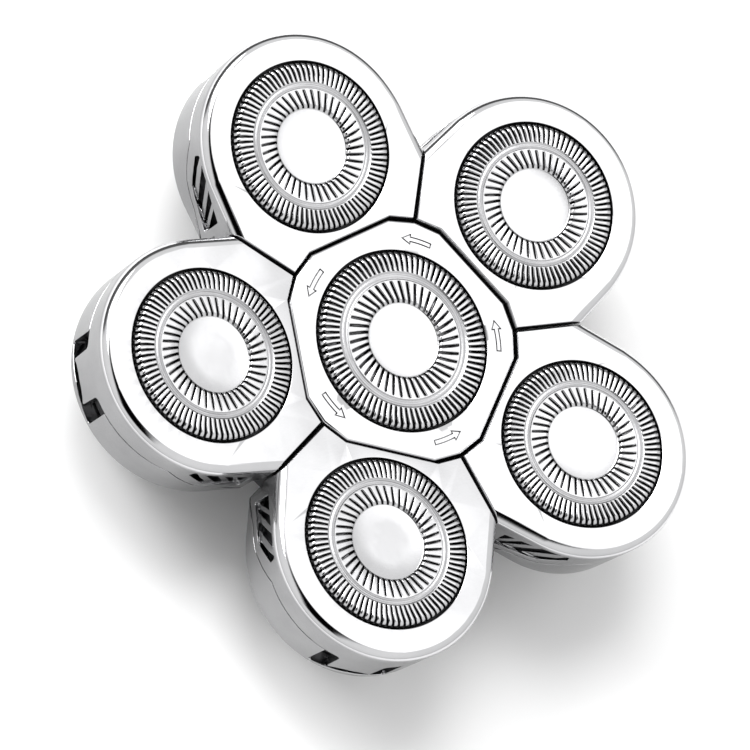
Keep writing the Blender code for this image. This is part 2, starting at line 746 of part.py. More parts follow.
def cover_screw():
    body = cylinder(1.5 * MM, 3.5 * MM, FLOOR_Z0 - 0.3 * MM, sides=14)
    join(body, cylinder(SCREW_SHANK, 4.0 * MM, LID_Z1 - 0.2 * MM, sides=8))
    cut(body, block(-0.2 * MM, 0.2 * MM, -1.1 * MM, 1.1 * MM, 3 * MM, 3.9 * MM))
    return finish_mesh(body, "cover_screw")


def hinge_pin():
    return finish_mesh(cross_cylinder(PIN, -4.2 * MM, 4.2 * MM, 0.0, 0.0), "hinge_pin")


# ---------------------------------------------------------------- assembly

def planet_turn(k):
    """Turn that puts a planet's gap over the sun's nearest tooth on their line of centres."""
    line = math.pi / 2 + k * STEP
    pitch = 2 * math.pi / SUN_TEETH
    offset = round(line / pitch) * pitch - line
    return line + math.pi - offset * SUN_TEETH / PLANET_TEETH + math.pi / PLANET_TEETH


def build_petals(mats):
    cover, shell, tray = petal_cover(), petal_shell(), cutter_retainer()
    cap = foil(FOIL_WALL, PETAL_INNER + INNER_WALL + 0.3 * MM - FOIL_RADIAL)
    rotor, rod, gear = cutter(CUTTER_DISC), spindle(FACE_Z), planet_gear()
    coil, pin = spring(TUBE_Z - 0.65 * MM, 13.05 * MM), hinge_pin()
    back = Matrix.Translation((0, -HINGE_RADIAL, -HINGE_Z))
    for k in range(PETALS):
        n = k + 1
        turn = Matrix.Rotation(k * STEP, 4, "Z")
        pivot = add_empty(f"petal_pivot_{n}", turn @ Matrix.Translation((0, HINGE_RADIAL, HINGE_Z)))
        add_part(f"petal_cover_{n}", cover, mats["chrome"], pivot, back)
        add_part(f"petal_shell_{n}", shell, mats["chrome"], pivot, back)
        add_part(f"cutter_retainer_{n}", tray, mats["tray_plastic"], pivot, back)
        add_part(f"foil_{n}", cap, mats["foil_steel"], pivot, back @ foil_matrix())
        add_part(f"hinge_pin_{n}", pin, mats["screw_steel"], None,
                 turn @ Matrix.Translation((0, HINGE_RADIAL, HINGE_Z)))
        local = planet_turn(k) - k * STEP
        spin = Matrix.Rotation(local, 4, "Z")
        add_part(f"cutter_{n}", rotor, mats["cutter_steel"], pivot, back @ foil_matrix() @ spin)
        axle = add_empty(f"planet_axis_{n}", turn @ Matrix.Translation((0, GEAR_RADIAL, 0)) @ spin)
        add_part(f"planet_gear_{n}", gear, mats["gear_acetal"], axle)
        add_part(f"spindle_spring_{n}", coil, mats["spring_steel"], axle)
        add_part(f"spindle_{n}", rod, mats["screw_steel"], axle)


def build_centre(mats):
    head = add_empty("centre_axis", Matrix.Identity(4))
    add_part("centre_frame", centre_frame(), mats["chrome"], head)
    add_part("centre_retainer", centre_retainer(), mats["tray_plastic"], head)
    face = Matrix.Translation((0, 0, CENTRE_FACE_Z))
    add_part("centre_foil", foil(CENTRE_FOIL_WALL), mats["foil_steel"], head, face)
    add_part("centre_cutter", cutter(CUTTER_DISC + 0.7 * MM), mats["cutter_steel"], head, face)
    add_part("centre_spindle", spindle(CENTRE_FACE_Z), mats["screw_steel"], head)
    add_part("centre_spring", spring(TUBE_Z - 0.65 * MM, 13.05 * MM), mats["spring_steel"], head)
    add_part("sun_gear", sun_gear(), mats["gear_acetal"], head)


def build_base(mats):
    add_part("gearbox_base", gearbox_base(), mats["gearbox_plastic"], None)
    add_part("gearbox_cover", gearbox_cover(), mats["gearbox_plastic"], None)
    add_part("lock_collar", lock_collar(), mats["gearbox_plastic"], None)
    screw = cover_screw()
    for k, (x, y) in enumerate(screw_places()):
        add_part(f"cover_screw_{k + 1}", screw, mats["screw_steel"], None, Matrix.Translation((x, y, 0)))


clear_scene()
PARTS = new_collection(NAME)
CUTTERS = new_collection("cutters")
palette = {name: make_material(name, *look) for name, look in MATERIALS.items()}
build_base(palette)
build_centre(palette)
build_petals(palette)
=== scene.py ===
"""Looks of the flower-shaped rotary shaver head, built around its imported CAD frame.

Everything is in metres in the frame's own axes: +Z is the drive axis, the floor is z = 0, and petal 1
is on +Y with the others counter-clockwise. Each detailed piece stands for one CAD node and rides on
that node's body. Gaps, seams, latches and vents follow the photo more closely than the CAD's do.
"""
import json
from math import acos, atan2, cos, hypot, log, pi, radians, sin, tan

import bpy
import bmesh
from mathutils import Matrix, Vector


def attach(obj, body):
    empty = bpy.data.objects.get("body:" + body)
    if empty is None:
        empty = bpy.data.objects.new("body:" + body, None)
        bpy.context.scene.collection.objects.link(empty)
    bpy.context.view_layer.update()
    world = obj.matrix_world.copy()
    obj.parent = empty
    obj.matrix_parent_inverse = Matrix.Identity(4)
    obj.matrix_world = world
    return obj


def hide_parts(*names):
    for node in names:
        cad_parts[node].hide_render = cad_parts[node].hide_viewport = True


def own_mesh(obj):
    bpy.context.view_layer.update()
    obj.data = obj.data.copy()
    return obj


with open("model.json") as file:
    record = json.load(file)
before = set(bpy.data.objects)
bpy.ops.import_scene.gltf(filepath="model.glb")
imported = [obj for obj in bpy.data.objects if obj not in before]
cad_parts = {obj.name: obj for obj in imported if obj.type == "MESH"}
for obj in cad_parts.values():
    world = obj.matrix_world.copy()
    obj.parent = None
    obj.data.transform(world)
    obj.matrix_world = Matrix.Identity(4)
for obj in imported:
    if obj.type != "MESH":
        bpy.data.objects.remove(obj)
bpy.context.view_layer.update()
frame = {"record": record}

MM = 0.001
PETALS = 5
STEP = radians(360 / PETALS)
HALF_STEP = STEP / 2

# Petals, as in the frame
FOIL_RADIAL = 25.7 * MM
FACE_TILT = radians(5.4)
FACE_Z = 19.85 * MM
SKIRT_Z = 10.9 * MM
SEAM_Z = 16.5 * MM
SEAM = ((10, 11.2), (21.7, 11.2), (25.2, 12.95), (28.7, 14.05), (30.9, 15.4), (32.4, 16.5),
        (45, 16.5))
SEAM_GAP = 0.15 * MM
PETAL_ARC = 14.3 * MM
PETAL_INNER = 14.17 * MM
INNER_HALF = 6.05 * MM
BORDER_START = 15.6 * MM
BORDER_END = 24.7 * MM
BORDER_GAP = 0.22 * MM
WALL = 1.2 * MM
INNER_WALL = 0.5 * MM
PLATE = 1.1 * MM
SHOULDER = 1.25 * MM
BORDER_EDGE = 0.25 * MM          # rounding of the borders, where petals meet
INNER_EDGE = 0.22 * MM           # rounding of the edges that face the centre head
RELIEF = 0.7 * MM
RELIEF_Z = 14.5 * MM
FLANGE_INSET = 2.6 * MM
FLANGE = 0.7 * MM
SHELL_START = 19.0 * MM
ARC_STEPS = 40
ROUND_STEPS = 10
BELOW = 5 * MM                   # heights and a half width that tools reach to be clear of a petal
ABOVE = 25 * MM
SIDE = 30 * MM
EDGE_BREAK = 0.09 * MM           # rounding of every cut edge
SMOOTH_ANGLE = radians(35)
LARGE_FACE = 60                  # a face with more corners than this has holes and is cut up first

# Latch and vents
LATCH_HALF = 5.0 * MM
LATCH_SILL = ((5.0, 11.35), (2.6, 11.7), (0.0, 11.95), (-2.6, 11.7), (-5.0, 11.35))
TAB_ROOT_HALF = 2.95 * MM
TAB_ROOT_ROUND = 0.8 * MM
TAB_ARCH = ((-2.8, 12.05), (-1.9, 12.7), (-0.9, 13.0), (0.9, 13.0), (1.9, 12.7), (2.8, 12.05))
VENT_WINDOW = ((22.15, 16.75), (24.2, 17.45), (27.2, 18.65), (29.6, 18.95),
               (30.2, 18.6), (30.45, 17.6), (27.6, 14.75), (22.2, 12.75))
VENT_BARS = (((22.8, 13.45), (24.1, 16.3), 0.6), ((24.0, 13.3), (26.3, 17.2), 0.75),
             ((26.6, 14.4), (28.8, 17.8), 0.85))
VENT_BAR_DROP = 0.4 * MM         # bars lie below the wall's surface

# Foils
OPENING = 10.6 * MM
CENTRE_OPENING = 11.35 * MM
OUTER_SLOTS = 84                 # twice the slots of the inner ring
SHEET = 0.4 * MM
PETAL_SHARES = ((0.40, 0.17), 0.19)      # slots' part of the pitch: inner ring's ends, outer ring
CENTRE_SHARES = ((0.46, 0.24), 0.21)
FLANGE_TOP = -0.9 * MM
FLANGE_CUT = PETAL_INNER + INNER_WALL + 0.4 * MM - FOIL_RADIAL   # where a petal foil's flange ends

# Centre head
CENTRE_FACE_Z = 18.4 * MM
CENTRE_CORNER = 15.1 * MM
CENTRE_BULGE = 15.3 * MM
CENTRE_CORNER_ANGLE = radians(22.6)
CENTRE_SKIRT_Z = 14.6 * MM
CENTRE_WALL = 1.0 * MM
CENTRE_EDGE = 0.3 * MM
ARROW_RADIUS = 12.95 * MM
ARROW_ANGLE = radians(52)
ARROW_HALF_SWEEP = radians(9)
ARROW_HALF_WIDTH = 0.36 * MM
ARROW_LINE = 0.17 * MM
ARROW_DEPTH = 0.3 * MM

# Retainers, cutters and spindles, as in the frame
TRAY_INSET = 1.6 * MM
TRAY_WALL = 0.9 * MM
TRAY_TOP = 2.2 * MM
TRAY_PLATE = 0.9 * MM
TRAY_BOTTOM_Z = 11.95 * MM
HUB_HOLE = 3.8 * MM
LUG_HALF = 2.3 * MM
LUG_IN = 15.6 * MM
LUG_OUT = 17.6 * MM
LUG_Z = 13.6 * MM
HINGE_RADIAL = 16.6 * MM
HINGE_Z = 14.6 * MM
PIN = 0.75 * MM
PIN_HOLE = 0.85 * MM
POST_IN = 2.7 * MM
POST_OUT = 3.9 * MM
GUIDE_OUT = 11.6 * MM
GUIDE_IN = 10.6 * MM
GUIDE_Z = 11.0 * MM
TOWER_OUT = 10.3 * MM
TOWER_IN = 9.2 * MM
TOWER_Z = 14.0 * MM
CUTTER_DISC = 9.0 * MM
CENTRE_CUTTER_DISC = 9.7 * MM
CUTTER_TOP = 0.05 * MM
DISC_LOW = -1.8 * MM
DISC_TOP = -1.0 * MM
VISUAL_BLADES = 9                # in each of the two rings
HUB = 3.0 * MM
HUB_DEPTH = 4.2 * MM
SOCKET = 2.35 * MM
HEAD = 1.7 * MM
HEAD_DEPTH = 3.3 * MM
HEAD_HEIGHT = 1.2 * MM
ROD = 1.4 * MM
NECK = 1.0 * MM
ROD_Z0 = 7.4 * MM
ROD_Z1 = 11.5 * MM
COLLAR_Z0 = 13.2 * MM
COLLAR_Z1 = 13.8 * MM
BORE = 1.75 * MM
COLLAR = 2.3 * MM
WIRE = 0.18 * MM
COIL = 1.86 * MM
TURNS = 3.0
SPRING_Z0 = 9.75 * MM
SPRING_Z1 = 13.05 * MM

# Gears, gearbox and collar, as in the frame
MODULE = 1.0 * MM
SUN_TEETH = 36
PLANET_TEETH = 16
GEAR_RADIAL = MODULE * (SUN_TEETH + PLANET_TEETH) / 2
ADDENDUM = 0.8 * MM
DEDENDUM = 1.15 * MM
BACKLASH = 0.2 * MM
PRESSURE = radians(20)
FLANK_STEPS = 5
GEAR_Z0 = 6.2 * MM
GEAR_Z1 = 8.0 * MM
FLOOR_Z0 = 4.6 * MM
FLOOR_Z1 = 5.8 * MM
LID_Z0 = 8.3 * MM
LID_Z1 = 9.3 * MM
CORE = 20.6 * MM
LOBE = 10.4 * MM
BOX_WALL = 1.2 * MM
TUBE = 2.4 * MM
TUBE_Z = 10.4 * MM
SCREW_RADIAL = 21.6 * MM
SCREW_ANGLE = radians(25)
SCREW_BOSS = 1.7 * MM
SCREW_SHANK = 0.8 * MM
SCREW_HOLE = 0.9 * MM
RECESS_IN = 3.4 * MM             # shallow ring moulded under each planet gear
RECESS_OUT = 6.4 * MM
RECESS = 0.3 * MM
COLLAR_OUT = 14.5 * MM
COLLAR_IN = 12.3 * MM
COLLAR_Z = 4.3 * MM
LUGS = 3
BOSS = 3.4 * MM
BOSS_SPLINES = 6
BOSS_Z = 0.25 * MM

# Camera and stage
CAMERA_AT = Vector((-230.3, -20.1, 421.3)) * MM
CAMERA_TURN = (16.01, -24.79, -29.86)
CAMERA_LENS = 185.7
CARD_AZIMUTH = radians(205)
CARD_SIDE = (-sin(CARD_AZIMUTH), cos(CARD_AZIMUTH), 0.0)
CARD_TILT = radians(17)     # from the zenith
CARD_AT = (sin(CARD_TILT) * cos(CARD_AZIMUTH),
           sin(CARD_TILT) * sin(CARD_AZIMUTH), cos(CARD_TILT))
# A fade is where it starts and ends, as sines or cosines of an angle, then its values at both ends
CARD_HALF = (0.17, 0.34)         # across the card, off its middle line
CARD_LENGTH = (0.788, 0.9135, 1.0, 0.0)
SKY_RISE = (0.0, 0.7, 0.88, 1.0)
HORIZON = (0.0, 0.18, 0.75, 1.0)
BACKDROP_AZIMUTH = radians(63)
BACKDROP_WIDTH = (0.3, 0.6)
BACKDROP_HEIGHT = (0.42, 0.6, 1.0, 0.0)
BACKDROP_FLOOR = 0.14            # brightness left in front of the dark backdrop
BLOB_AT = (0.42, 0.0, 0.907)     # soft box over the object
BLOB = (0.959, 0.985, 0.0, 0.85)
# Name, azimuth and elevation in degrees, distance, size, power, and if it shows in reflections
LAMPS = (("key", 85, 55, 1.1, 0.6, 8.0, True), ("fill", 116, 30, 1.1, 0.5, 10.0, False))
FLOOR_HALF = 1.6


# ==== Mesh helpers ====

def polar(radius, angle):
    return (radius * cos(angle), radius * sin(angle))


def bench_object(mesh):
    obj = bpy.data.objects.new("bench", mesh)
    bpy.context.scene.collection.objects.link(obj)
    return obj


def from_bmesh(bm):
    mesh = bpy.data.meshes.new("work")
    bmesh.ops.recalc_face_normals(bm, faces=bm.faces)
    bm.to_mesh(mesh)
    bm.free()
    return bench_object(mesh)


def bake(obj):
    """Replace an object's mesh by its evaluated mesh and drop the modifiers."""
    bpy.context.view_layer.update()
    depsgraph = bpy.context.evaluated_depsgraph_get()
    mesh = bpy.data.meshes.new_from_object(obj.evaluated_get(depsgraph))
    obj.modifiers.clear()
    obj.data = mesh
    return obj


def settle(obj):
    """Rebuild a mesh in a fixed order, because a boolean leaves its parts in another order each run."""
    mesh = obj.data
    points = [tuple(round(value, 9) for value in vert.co) for vert in mesh.vertices]
    order = sorted(range(len(points)), key=points.__getitem__)
    place = {old: new for new, old in enumerate(order)}
    faces = []
    for face in mesh.polygons:
        corners = [place[i] for i in face.vertices]
        first = corners.index(min(corners))
        faces.append((tuple(corners[first:] + corners[:first]), face.material_index))
    faces.sort()
    settled = bpy.data.meshes.new("work")
    settled.from_pydata([points[i] for i in order], [], [corners for corners, finish_index in faces])
    settled.polygons.foreach_set("material_index", [finish_index for corners, finish_index in faces])
    obj.data = settled
    return obj


def combine(target, operation, *tools):
    for tool in tools:
        modifier = target.modifiers.new("boolean", "BOOLEAN")
        modifier.operation = operation
        modifier.object = tool
        modifier.solver = "EXACT"
    settle(bake(target))
    for tool in tools:
        bpy.data.objects.remove(tool, do_unlink=True)
    return target


def cut(target, *tools):
    return combine(target, "DIFFERENCE", *tools)


def join(target, *tools):
    return combine(target, "UNION", *tools)


def moved(obj, matrix):
    obj.data.transform(matrix)
    return obj


def level(z):
    return lambda x, y: z


def face_plane(drop):
    """Height of the tilted petal face, lowered by drop, above a point of the plan."""
    return lambda x, y: (FACE_Z - drop / cos(FACE_TILT)
                         + (y - FOIL_RADIAL) * tan(FACE_TILT))


def extruded(corners, shift):
    """Prism on a flat outline; shift puts each copied corner at the other end."""
    bm = bmesh.new()
    base = bm.faces.new([bm.verts.new(corner) for corner in corners])
    for item in bmesh.ops.extrude_face_region(bm, geom=[base])["geom"]:
        if isinstance(item, bmesh.types.BMVert):
            shift(item.co)
    return from_bmesh(bm)


def prism(outline, bottom, top):
    """Upright prism whose ends are at heights given as functions of the plan."""
    def lift(point):
        point.z = top(point.x, point.y)
    return extruded([(x, y, bottom(x, y)) for x, y in outline], lift)


def flat_prism(outline, z0, z1):
    return prism(outline, level(z0), level(z1))


def side_prism(outline, x0, x1):
    """Prism along X on an outline given as (y, z) pairs."""
    def push(point):
        point.x = x1
    return extruded([(x0, y, z) for y, z in outline], push)


def front_prism(outline, y0, y1):
    """Prism along Y on an outline given as (x, z) pairs."""
    return moved(side_prism([(-x, z) for x, z in outline], y0, y1),
                 Matrix.Rotation(pi / 2, 4, "Z"))


def block(x0, x1, y0, y1, z0, z1):
    return flat_prism([(x0, y0), (x1, y0), (x1, y1), (x0, y1)], z0, z1)


def cylinder(radius, z0, z1, x=0.0, y=0.0, sides=72, turn=0.0):
    bm = bmesh.new()
    place = Matrix.Translation((x, y, (z0 + z1) / 2)) @ Matrix.Rotation(turn, 4, "Z")
    bmesh.ops.create_cone(bm, cap_ends=True, segments=sides, radius1=radius, radius2=radius,
                          depth=z1 - z0, matrix=place)
    return from_bmesh(bm)


def pin_hole():
    """Tool for the bore of a petal's hinge, along X."""
    return moved(cylinder(PIN_HOLE, -5 * MM, 5 * MM, sides=32),
                 Matrix.Translation((0, HINGE_RADIAL, HINGE_Z)) @ Matrix.Rotation(pi / 2, 4, "Y"))


def turned(profile, steps):
    """Solid of revolution about Z from an open profile of (radius, height) pairs."""
    bm = bmesh.new()
    rings = []
    for radius, z in profile:
        if radius == 0.0:
            rings.append([bm.verts.new((0, 0, z))] * steps)
        else:
            rings.append([bm.verts.new((*polar(radius, 2 * pi * i / steps), z))
                          for i in range(steps)])
    closed = profile[0][0] != 0.0
    pairs = list(zip(rings, rings[1:])) + ([(rings[-1], rings[0])] if closed else [])
    for low, high in pairs:
        for i in range(steps):
            j = (i + 1) % steps
            corners = []
            for vert in (low[i], low[j], high[j], high[i]):
                if vert not in corners:
                    corners.append(vert)
            bm.faces.new(corners)
    return from_bmesh(bm)


def weighted_bevel(obj, bm, width, segments, **settings):
    """Put the weighted mesh back into its object and bevel it by its edges' weights."""
    bm.to_mesh(obj.data)
    bm.free()
    bevel = obj.modifiers.new("bevel", "BEVEL")
    bevel.limit_method = "WEIGHT"
    bevel.width = width
    bevel.segments = segments
    for name, value in settings.items():
        setattr(bevel, name, value)
    return bake(obj)


def break_edges(obj, width=EDGE_BREAK, segments=2, skip=None):
    """Round every sharp edge by a fine radius, but for those whose middle skip says to leave."""
    bm = bmesh.new()
    bm.from_mesh(obj.data)
    bmesh.ops.dissolve_limit(bm, angle_limit=radians(0.4), verts=bm.verts, edges=bm.edges)
    bmesh.ops.remove_doubles(bm, verts=bm.verts, dist=width * 0.35)
    bmesh.ops.triangulate(bm, faces=[face for face in bm.faces if len(face.verts) > LARGE_FACE])
    layers = bm.edges.layers.float
    weights = layers.get("bevel_weight_edge") or layers.new("bevel_weight_edge")
    for edge in bm.edges:
        sharp = edge.calc_face_angle(0.0) > SMOOTH_ANGLE
        left = skip is not None and skip((edge.verts[0].co + edge.verts[1].co) / 2)
        edge[weights] = 1.0 if sharp and not left else 0.0
    return weighted_bevel(obj, bm, width, segments, use_clamp_overlap=False, loop_slide=False)


def finished(obj, name):
    """Take the mesh off the bench, smooth, its flat areas kept flat by weighted normals."""
    obj.data.shade_smooth()
    obj.data.set_sharp_from_angle(angle=SMOOTH_ANGLE)
    weighted = obj.modifiers.new("weighted", "WEIGHTED_NORMAL")
    weighted.keep_sharp = True
    weighted.weight = 100
    bake(obj)
    mesh = obj.data
    mesh.name = name
    bpy.data.objects.remove(obj, do_unlink=True)
    return mesh


# ==== Outlines ====

def crossing(p, d, q, e):
    """Where the line through p along d meets the line through q along e."""
    scale = d[0] * e[1] - d[1] * e[0]
    t = ((q[0] - p[0]) * e[1] - (q[1] - p[1]) * e[0]) / scale
    return (p[0] + t * d[0], p[1] + t * d[1])


def border_point(radius, inset):
    gap = BORDER_GAP / 2 + inset
    return (radius * sin(HALF_STEP) - gap * cos(HALF_STEP),
            radius * cos(HALF_STEP) + gap * sin(HALF_STEP))


def flank_angle():
    """Angle at the foil centre where the flank leaves the tip's arc."""
    x, y = border_point(BORDER_END, 0.0)
    dx, dy = x, y - FOIL_RADIAL
    return atan2(dy, dx) + acos(PETAL_ARC / hypot(dx, dy))


def petal_outline(outer=0.0, border=0.0, inner=0.0, steps=ARC_STEPS):
    """Plan of a petal, counter-clockwise, with its outer, border and inner edges moved inwards."""
    start = flank_angle()
    radius = PETAL_ARC - outer
    along = (sin(HALF_STEP), cos(HALF_STEP))
    chord_end = border_point(BORDER_START, 0.0)
    chord = (chord_end[0] - INNER_HALF, chord_end[1] - PETAL_INNER)
    chord_start = (INNER_HALF, PETAL_INNER + inner)
    tangent_point = (radius * cos(start), FOIL_RADIAL + radius * sin(start))
    tangent = (-sin(start), cos(start))
    border_at = border_point(BORDER_START, border)
    half = [chord_start,
            crossing(chord_start, chord, border_at, along),
            crossing(border_at, along, tangent_point, tangent)]
    for i in range(steps + 1):
        angle = start + (pi / 2 - start) * i / steps
        half.append((radius * cos(angle), FOIL_RADIAL + radius * sin(angle)))
    return half + [(-x, y) for x, y in reversed(half[:-1])]


def centre_outline(inset=0.0):
    """Plan of the centre head: five straight edges towards the petals, joined by shallow bulges."""
    points = []
    for k in range(PETALS):
        axis = pi / 2 + k * STEP
        points.append(polar(CENTRE_CORNER - inset, axis - CENTRE_CORNER_ANGLE))
        points.append(polar(CENTRE_CORNER - inset, axis + CENTRE_CORNER_ANGLE))
        points.append(polar(CENTRE_BULGE - inset, axis + HALF_STEP))
    return points


def rounded(points, radius, steps=6):
    """A closed polygon with its corners rounded; radius is one value or one for each corner."""
    count = len(points)
    radii = radius if isinstance(radius, (list, tuple)) else [radius] * count
    result = []
    for i, point in enumerate(points):
        here = Vector(point)
        before = Vector(points[i - 1]) - here
        after = Vector(points[(i + 1) % count]) - here
        if radii[i] <= 0.0:
            result.append(tuple(here))
            continue
        turn = before.angle(after) / 2
        reach = min(radii[i] / tan(turn), 0.45 * before.length, 0.45 * after.length)
        start = here + before.normalized() * reach
        end = here + after.normalized() * reach
        for j in range(steps + 1):
            t = j / steps
            result.append(tuple((1 - t) ** 2 * start + 2 * t * (1 - t) * here + t * t * end))
    return result


def seam_line(drop):
    """Height of the cover's lower edge along the petal, as (y, z) pairs from the centre outwards."""
    return [(y * MM, z * MM - drop) for y, z in SEAM]


def foil_matrix():
    return Matrix.Translation((0, FOIL_RADIAL, FACE_Z)) @ Matrix.Rotation(FACE_TILT, 4, "X")


# ==== Petal pieces ====

def relief():
    """What the lower walls leave free beside the neighbours and the centre head."""
    wide = block(-SIDE, SIDE, 5 * MM, 45 * MM, 5 * MM, RELIEF_Z)
    far = 60 * MM
    start = PETAL_INNER + RELIEF
    slope = tan(HALF_STEP)
    shift = (BORDER_GAP / 2 + RELIEF) / cos(HALF_STEP)
    kept = [(start * slope - shift, start), (far * slope - shift, far)]
    outline = kept + [(-x, y) for x, y in reversed(kept)]
    return cut(wide, flat_prism(outline, 4 * MM, RELIEF_Z + MM))


def tilted_cylinder(radius, low, high, sides):
    return moved(cylinder(radius, low, high, sides=sides), foil_matrix())


def round_top(obj, width, rim, segments=ROUND_STEPS):
    """Bevel the upper rim of a prism: rim says how far each edge is rounded, 0 to 1."""
    bm = bmesh.new()
    bm.from_mesh(obj.data)
    weights = bm.edges.layers.float.new("bevel_weight_edge")
    top = max(bm.faces, key=lambda face: face.normal.z)
    for edge in top.edges:
        edge[weights] = rim((edge.verts[0].co + edge.verts[1].co) / 2)
    return weighted_bevel(obj, bm, width, segments)


def petal_rim(middle):
    """Full shoulder round the tip and flanks, finer rounding on the borders and the inner end."""
    if middle.y > border_point(BORDER_END, 0.0)[1]:
        return 1.0
    return (INNER_EDGE if middle.y < PETAL_INNER + 0.5 * MM else BORDER_EDGE) / SHOULDER


def vent_window(side):
    """The slotted window of a flank: its outline as (y, z), less the bars that cross it."""
    window = [(y * MM, z * MM) for y, z in VENT_WINDOW]
    x0, x1 = sorted((side * 9 * MM, side * 16 * MM))
    tool = side_prism(rounded(window, 0.3 * MM), x0, x1)
    bars = []
    for low, high, width in VENT_BARS:
        start, end = Vector(low) * MM, Vector(high) * MM
        lean = (end - start).normalized()
        across = Vector((lean.y, -lean.x)) * width * MM / 2
        start, end = start - lean * 2 * MM, end + lean * 4 * MM
        bar = [start - across, start + across, end + across, end - across]
        b0, b1 = sorted((side * 8 * MM, side * (PETAL_ARC - VENT_BAR_DROP)))
        bars.append(side_prism(bar, b0, b1))
    return cut(tool, *bars)


def latch_tab():
    """The tongue of the cover that hangs into the shell's opening."""
    far = TAB_ROOT_HALF + 2.5 * MM
    arch = [(x * MM, z * MM) for x, z in TAB_ARCH]
    outline = ([(-far, SEAM_Z + MM), (-far, SEAM_Z), (-TAB_ROOT_HALF, SEAM_Z)] + arch
               + [(TAB_ROOT_HALF, SEAM_Z), (far, SEAM_Z), (far, SEAM_Z + MM)])
    radii = [0.0, 0.0, TAB_ROOT_ROUND] + [0.2 * MM] * len(arch) + [TAB_ROOT_ROUND, 0.0, 0.0]
    return front_prism(rounded(outline, radii), 36 * MM, 44 * MM)


def cover_mesh():
    body = prism(petal_outline(), level(SKIRT_Z), face_plane(0.0))
    round_top(body, SHOULDER, petal_rim)
    hollow = petal_outline(outer=WALL, border=WALL, inner=INNER_WALL)
    seam = seam_line(0.0)
    below = side_prism([(10 * MM, BELOW)] + seam + [(45 * MM, BELOW)], -SIDE, SIDE)
    cut(below, latch_tab())
    cut(body,
        prism(hollow, level(BELOW), face_plane(PLATE)),
        tilted_cylinder(OPENING, -3 * MM, 2 * MM, 144),
        below, relief(), vent_window(1), vent_window(-1))
    break_edges(body)
    return finished(body, "cover")


def shell_mesh():
    body = flat_prism(petal_outline(), SKIRT_Z, SEAM_Z + MM)
    hollow = petal_outline(outer=WALL, border=WALL, inner=WALL)
    floor = petal_outline(outer=FLANGE_INSET, border=FLANGE_INSET, inner=FLANGE_INSET)
    seam = seam_line(SEAM_GAP)
    above = side_prism(seam + [(45 * MM, ABOVE), (10 * MM, ABOVE)], -SIDE, SIDE)
    latch = [(-LATCH_HALF, ABOVE)] + [(x * MM, z * MM) for x, z in reversed(LATCH_SILL)]
    latch.append((LATCH_HALF, ABOVE))
    cut(body,
        flat_prism(hollow, SKIRT_Z + FLANGE, ABOVE),
        flat_prism(floor, BELOW, ABOVE),
        above, relief(),
        front_prism(rounded(latch, [0.0] + [0.4 * MM] * 5 + [0.0]), 36 * MM, 45 * MM),
        block(-SIDE, SIDE, 5 * MM, SHELL_START, BELOW, ABOVE))
    break_edges(body)
    return finished(body, "shell")


# ==== Foils ====

# Rows of the cap from the middle outwards: radius and height in mm, band, and how far the slots'
# edges are let down. A slot runs from the first row of its band to the row after the last.
FOIL_ROWS = (
    (2.4, 0.28, "", 0.0), (4.5, 0.28, "", 0.0), (4.62, 0.30, "", 0.0),
    (4.64, 0.31, "inner", 0.0), (4.70, 0.36, "inner", 0.3), (4.80, 0.46, "inner", 0.7),
    (4.93, 0.53, "inner", 1.0), (5.10, 0.56, "inner", 1.0), (6.0, 0.56, "inner", 1.0),
    (6.75, 0.56, "inner", 1.0), (6.9, 0.56, "", 0.0),
    (7.02, 0.555, "groove", 0.0), (7.08, 0.50, "groove", 0.0), (7.15, 0.44, "groove", 0.0),
    (7.26, 0.44, "groove", 0.0), (7.31, 0.47, "groove", 0.0), (7.35, 0.48, "groove", 0.0),
    (7.50, 0.48, "groove", 0.0), (7.53, 0.47, "groove", 0.0), (7.58, 0.44, "groove", 0.0),
    (7.71, 0.44, "groove", 0.0), (7.78, 0.49, "groove", 0.0), (7.85, 0.54, "", 0.0),
    (7.91, 0.56, "outer", 0.0), (8.04, 0.56, "outer", 1.0), (8.9, 0.56, "outer", 1.0),
    (9.5, 0.555, "outer", 1.0), (9.75, 0.53, "outer", 1.0), (9.95, 0.46, "outer", 1.0),
    (10.12, 0.33, "outer", 1.0), (10.24, 0.14, "outer", 1.0), (10.3, -0.05, "outer", 1.0),
    (10.3, -0.25, "", 0.0), (10.3, -1.4, "", 0.0), (11.3, -1.4, "", 0.0), (11.3, -1.85, "", 0.0))
RING_CHANGE = 7.6                # between the ring of wide pitch and the ring of fine pitch
DOME_START = 9.0
WALL_START = 10.2                # the cap's wall below this row is painted dark, a painted reflection of the dark gap round the foil
CENTRE_WARP = ((0.0, 0.0), (5.1, 5.1), (6.9, 7.31), (7.06, 7.45), (7.35, 7.85), (7.5, 8.03),
               (7.9, 8.5), (7.96, 8.58), (8.9, 9.6), (9.5, 10.25), (20.0, 20.75))
# Points across a web, as fractions of its width, and how far each is let down beside the slot
OUTER_WEB = ((0.0, 0.07), (0.07, 0.02), (0.18, 0.0), (0.5, 0.0), (0.82, 0.0), (0.93, 0.02))
INNER_WEB = ((0.0, 0.12), (0.04, 0.05), (0.10, 0.015), (0.18, 0.0), (0.27, 0.0), (0.36, 0.0),
             (0.45, 0.0), (0.54, 0.0), (0.63, 0.0), (0.72, 0.0), (0.81, 0.0), (0.90, 0.015),
             (0.96, 0.05))
INNER_SLANT = radians(15)
OUTER_SLANT = radians(8.5)
SLANT_FROM = 5.28                # radius at which an inner slot points straight out of the middle
OUTER_FROM = 8.3


def petal_warp(radius):
    return radius


def centre_warp(radius):
    """Radius on the centre foil, which is wider, of a row given for a petal's foil."""
    for (a, b), (c, d) in zip(CENTRE_WARP, CENTRE_WARP[1:]):
        if radius <= c:
            return b + (d - b) * (radius - a) / (c - a)
    return radius


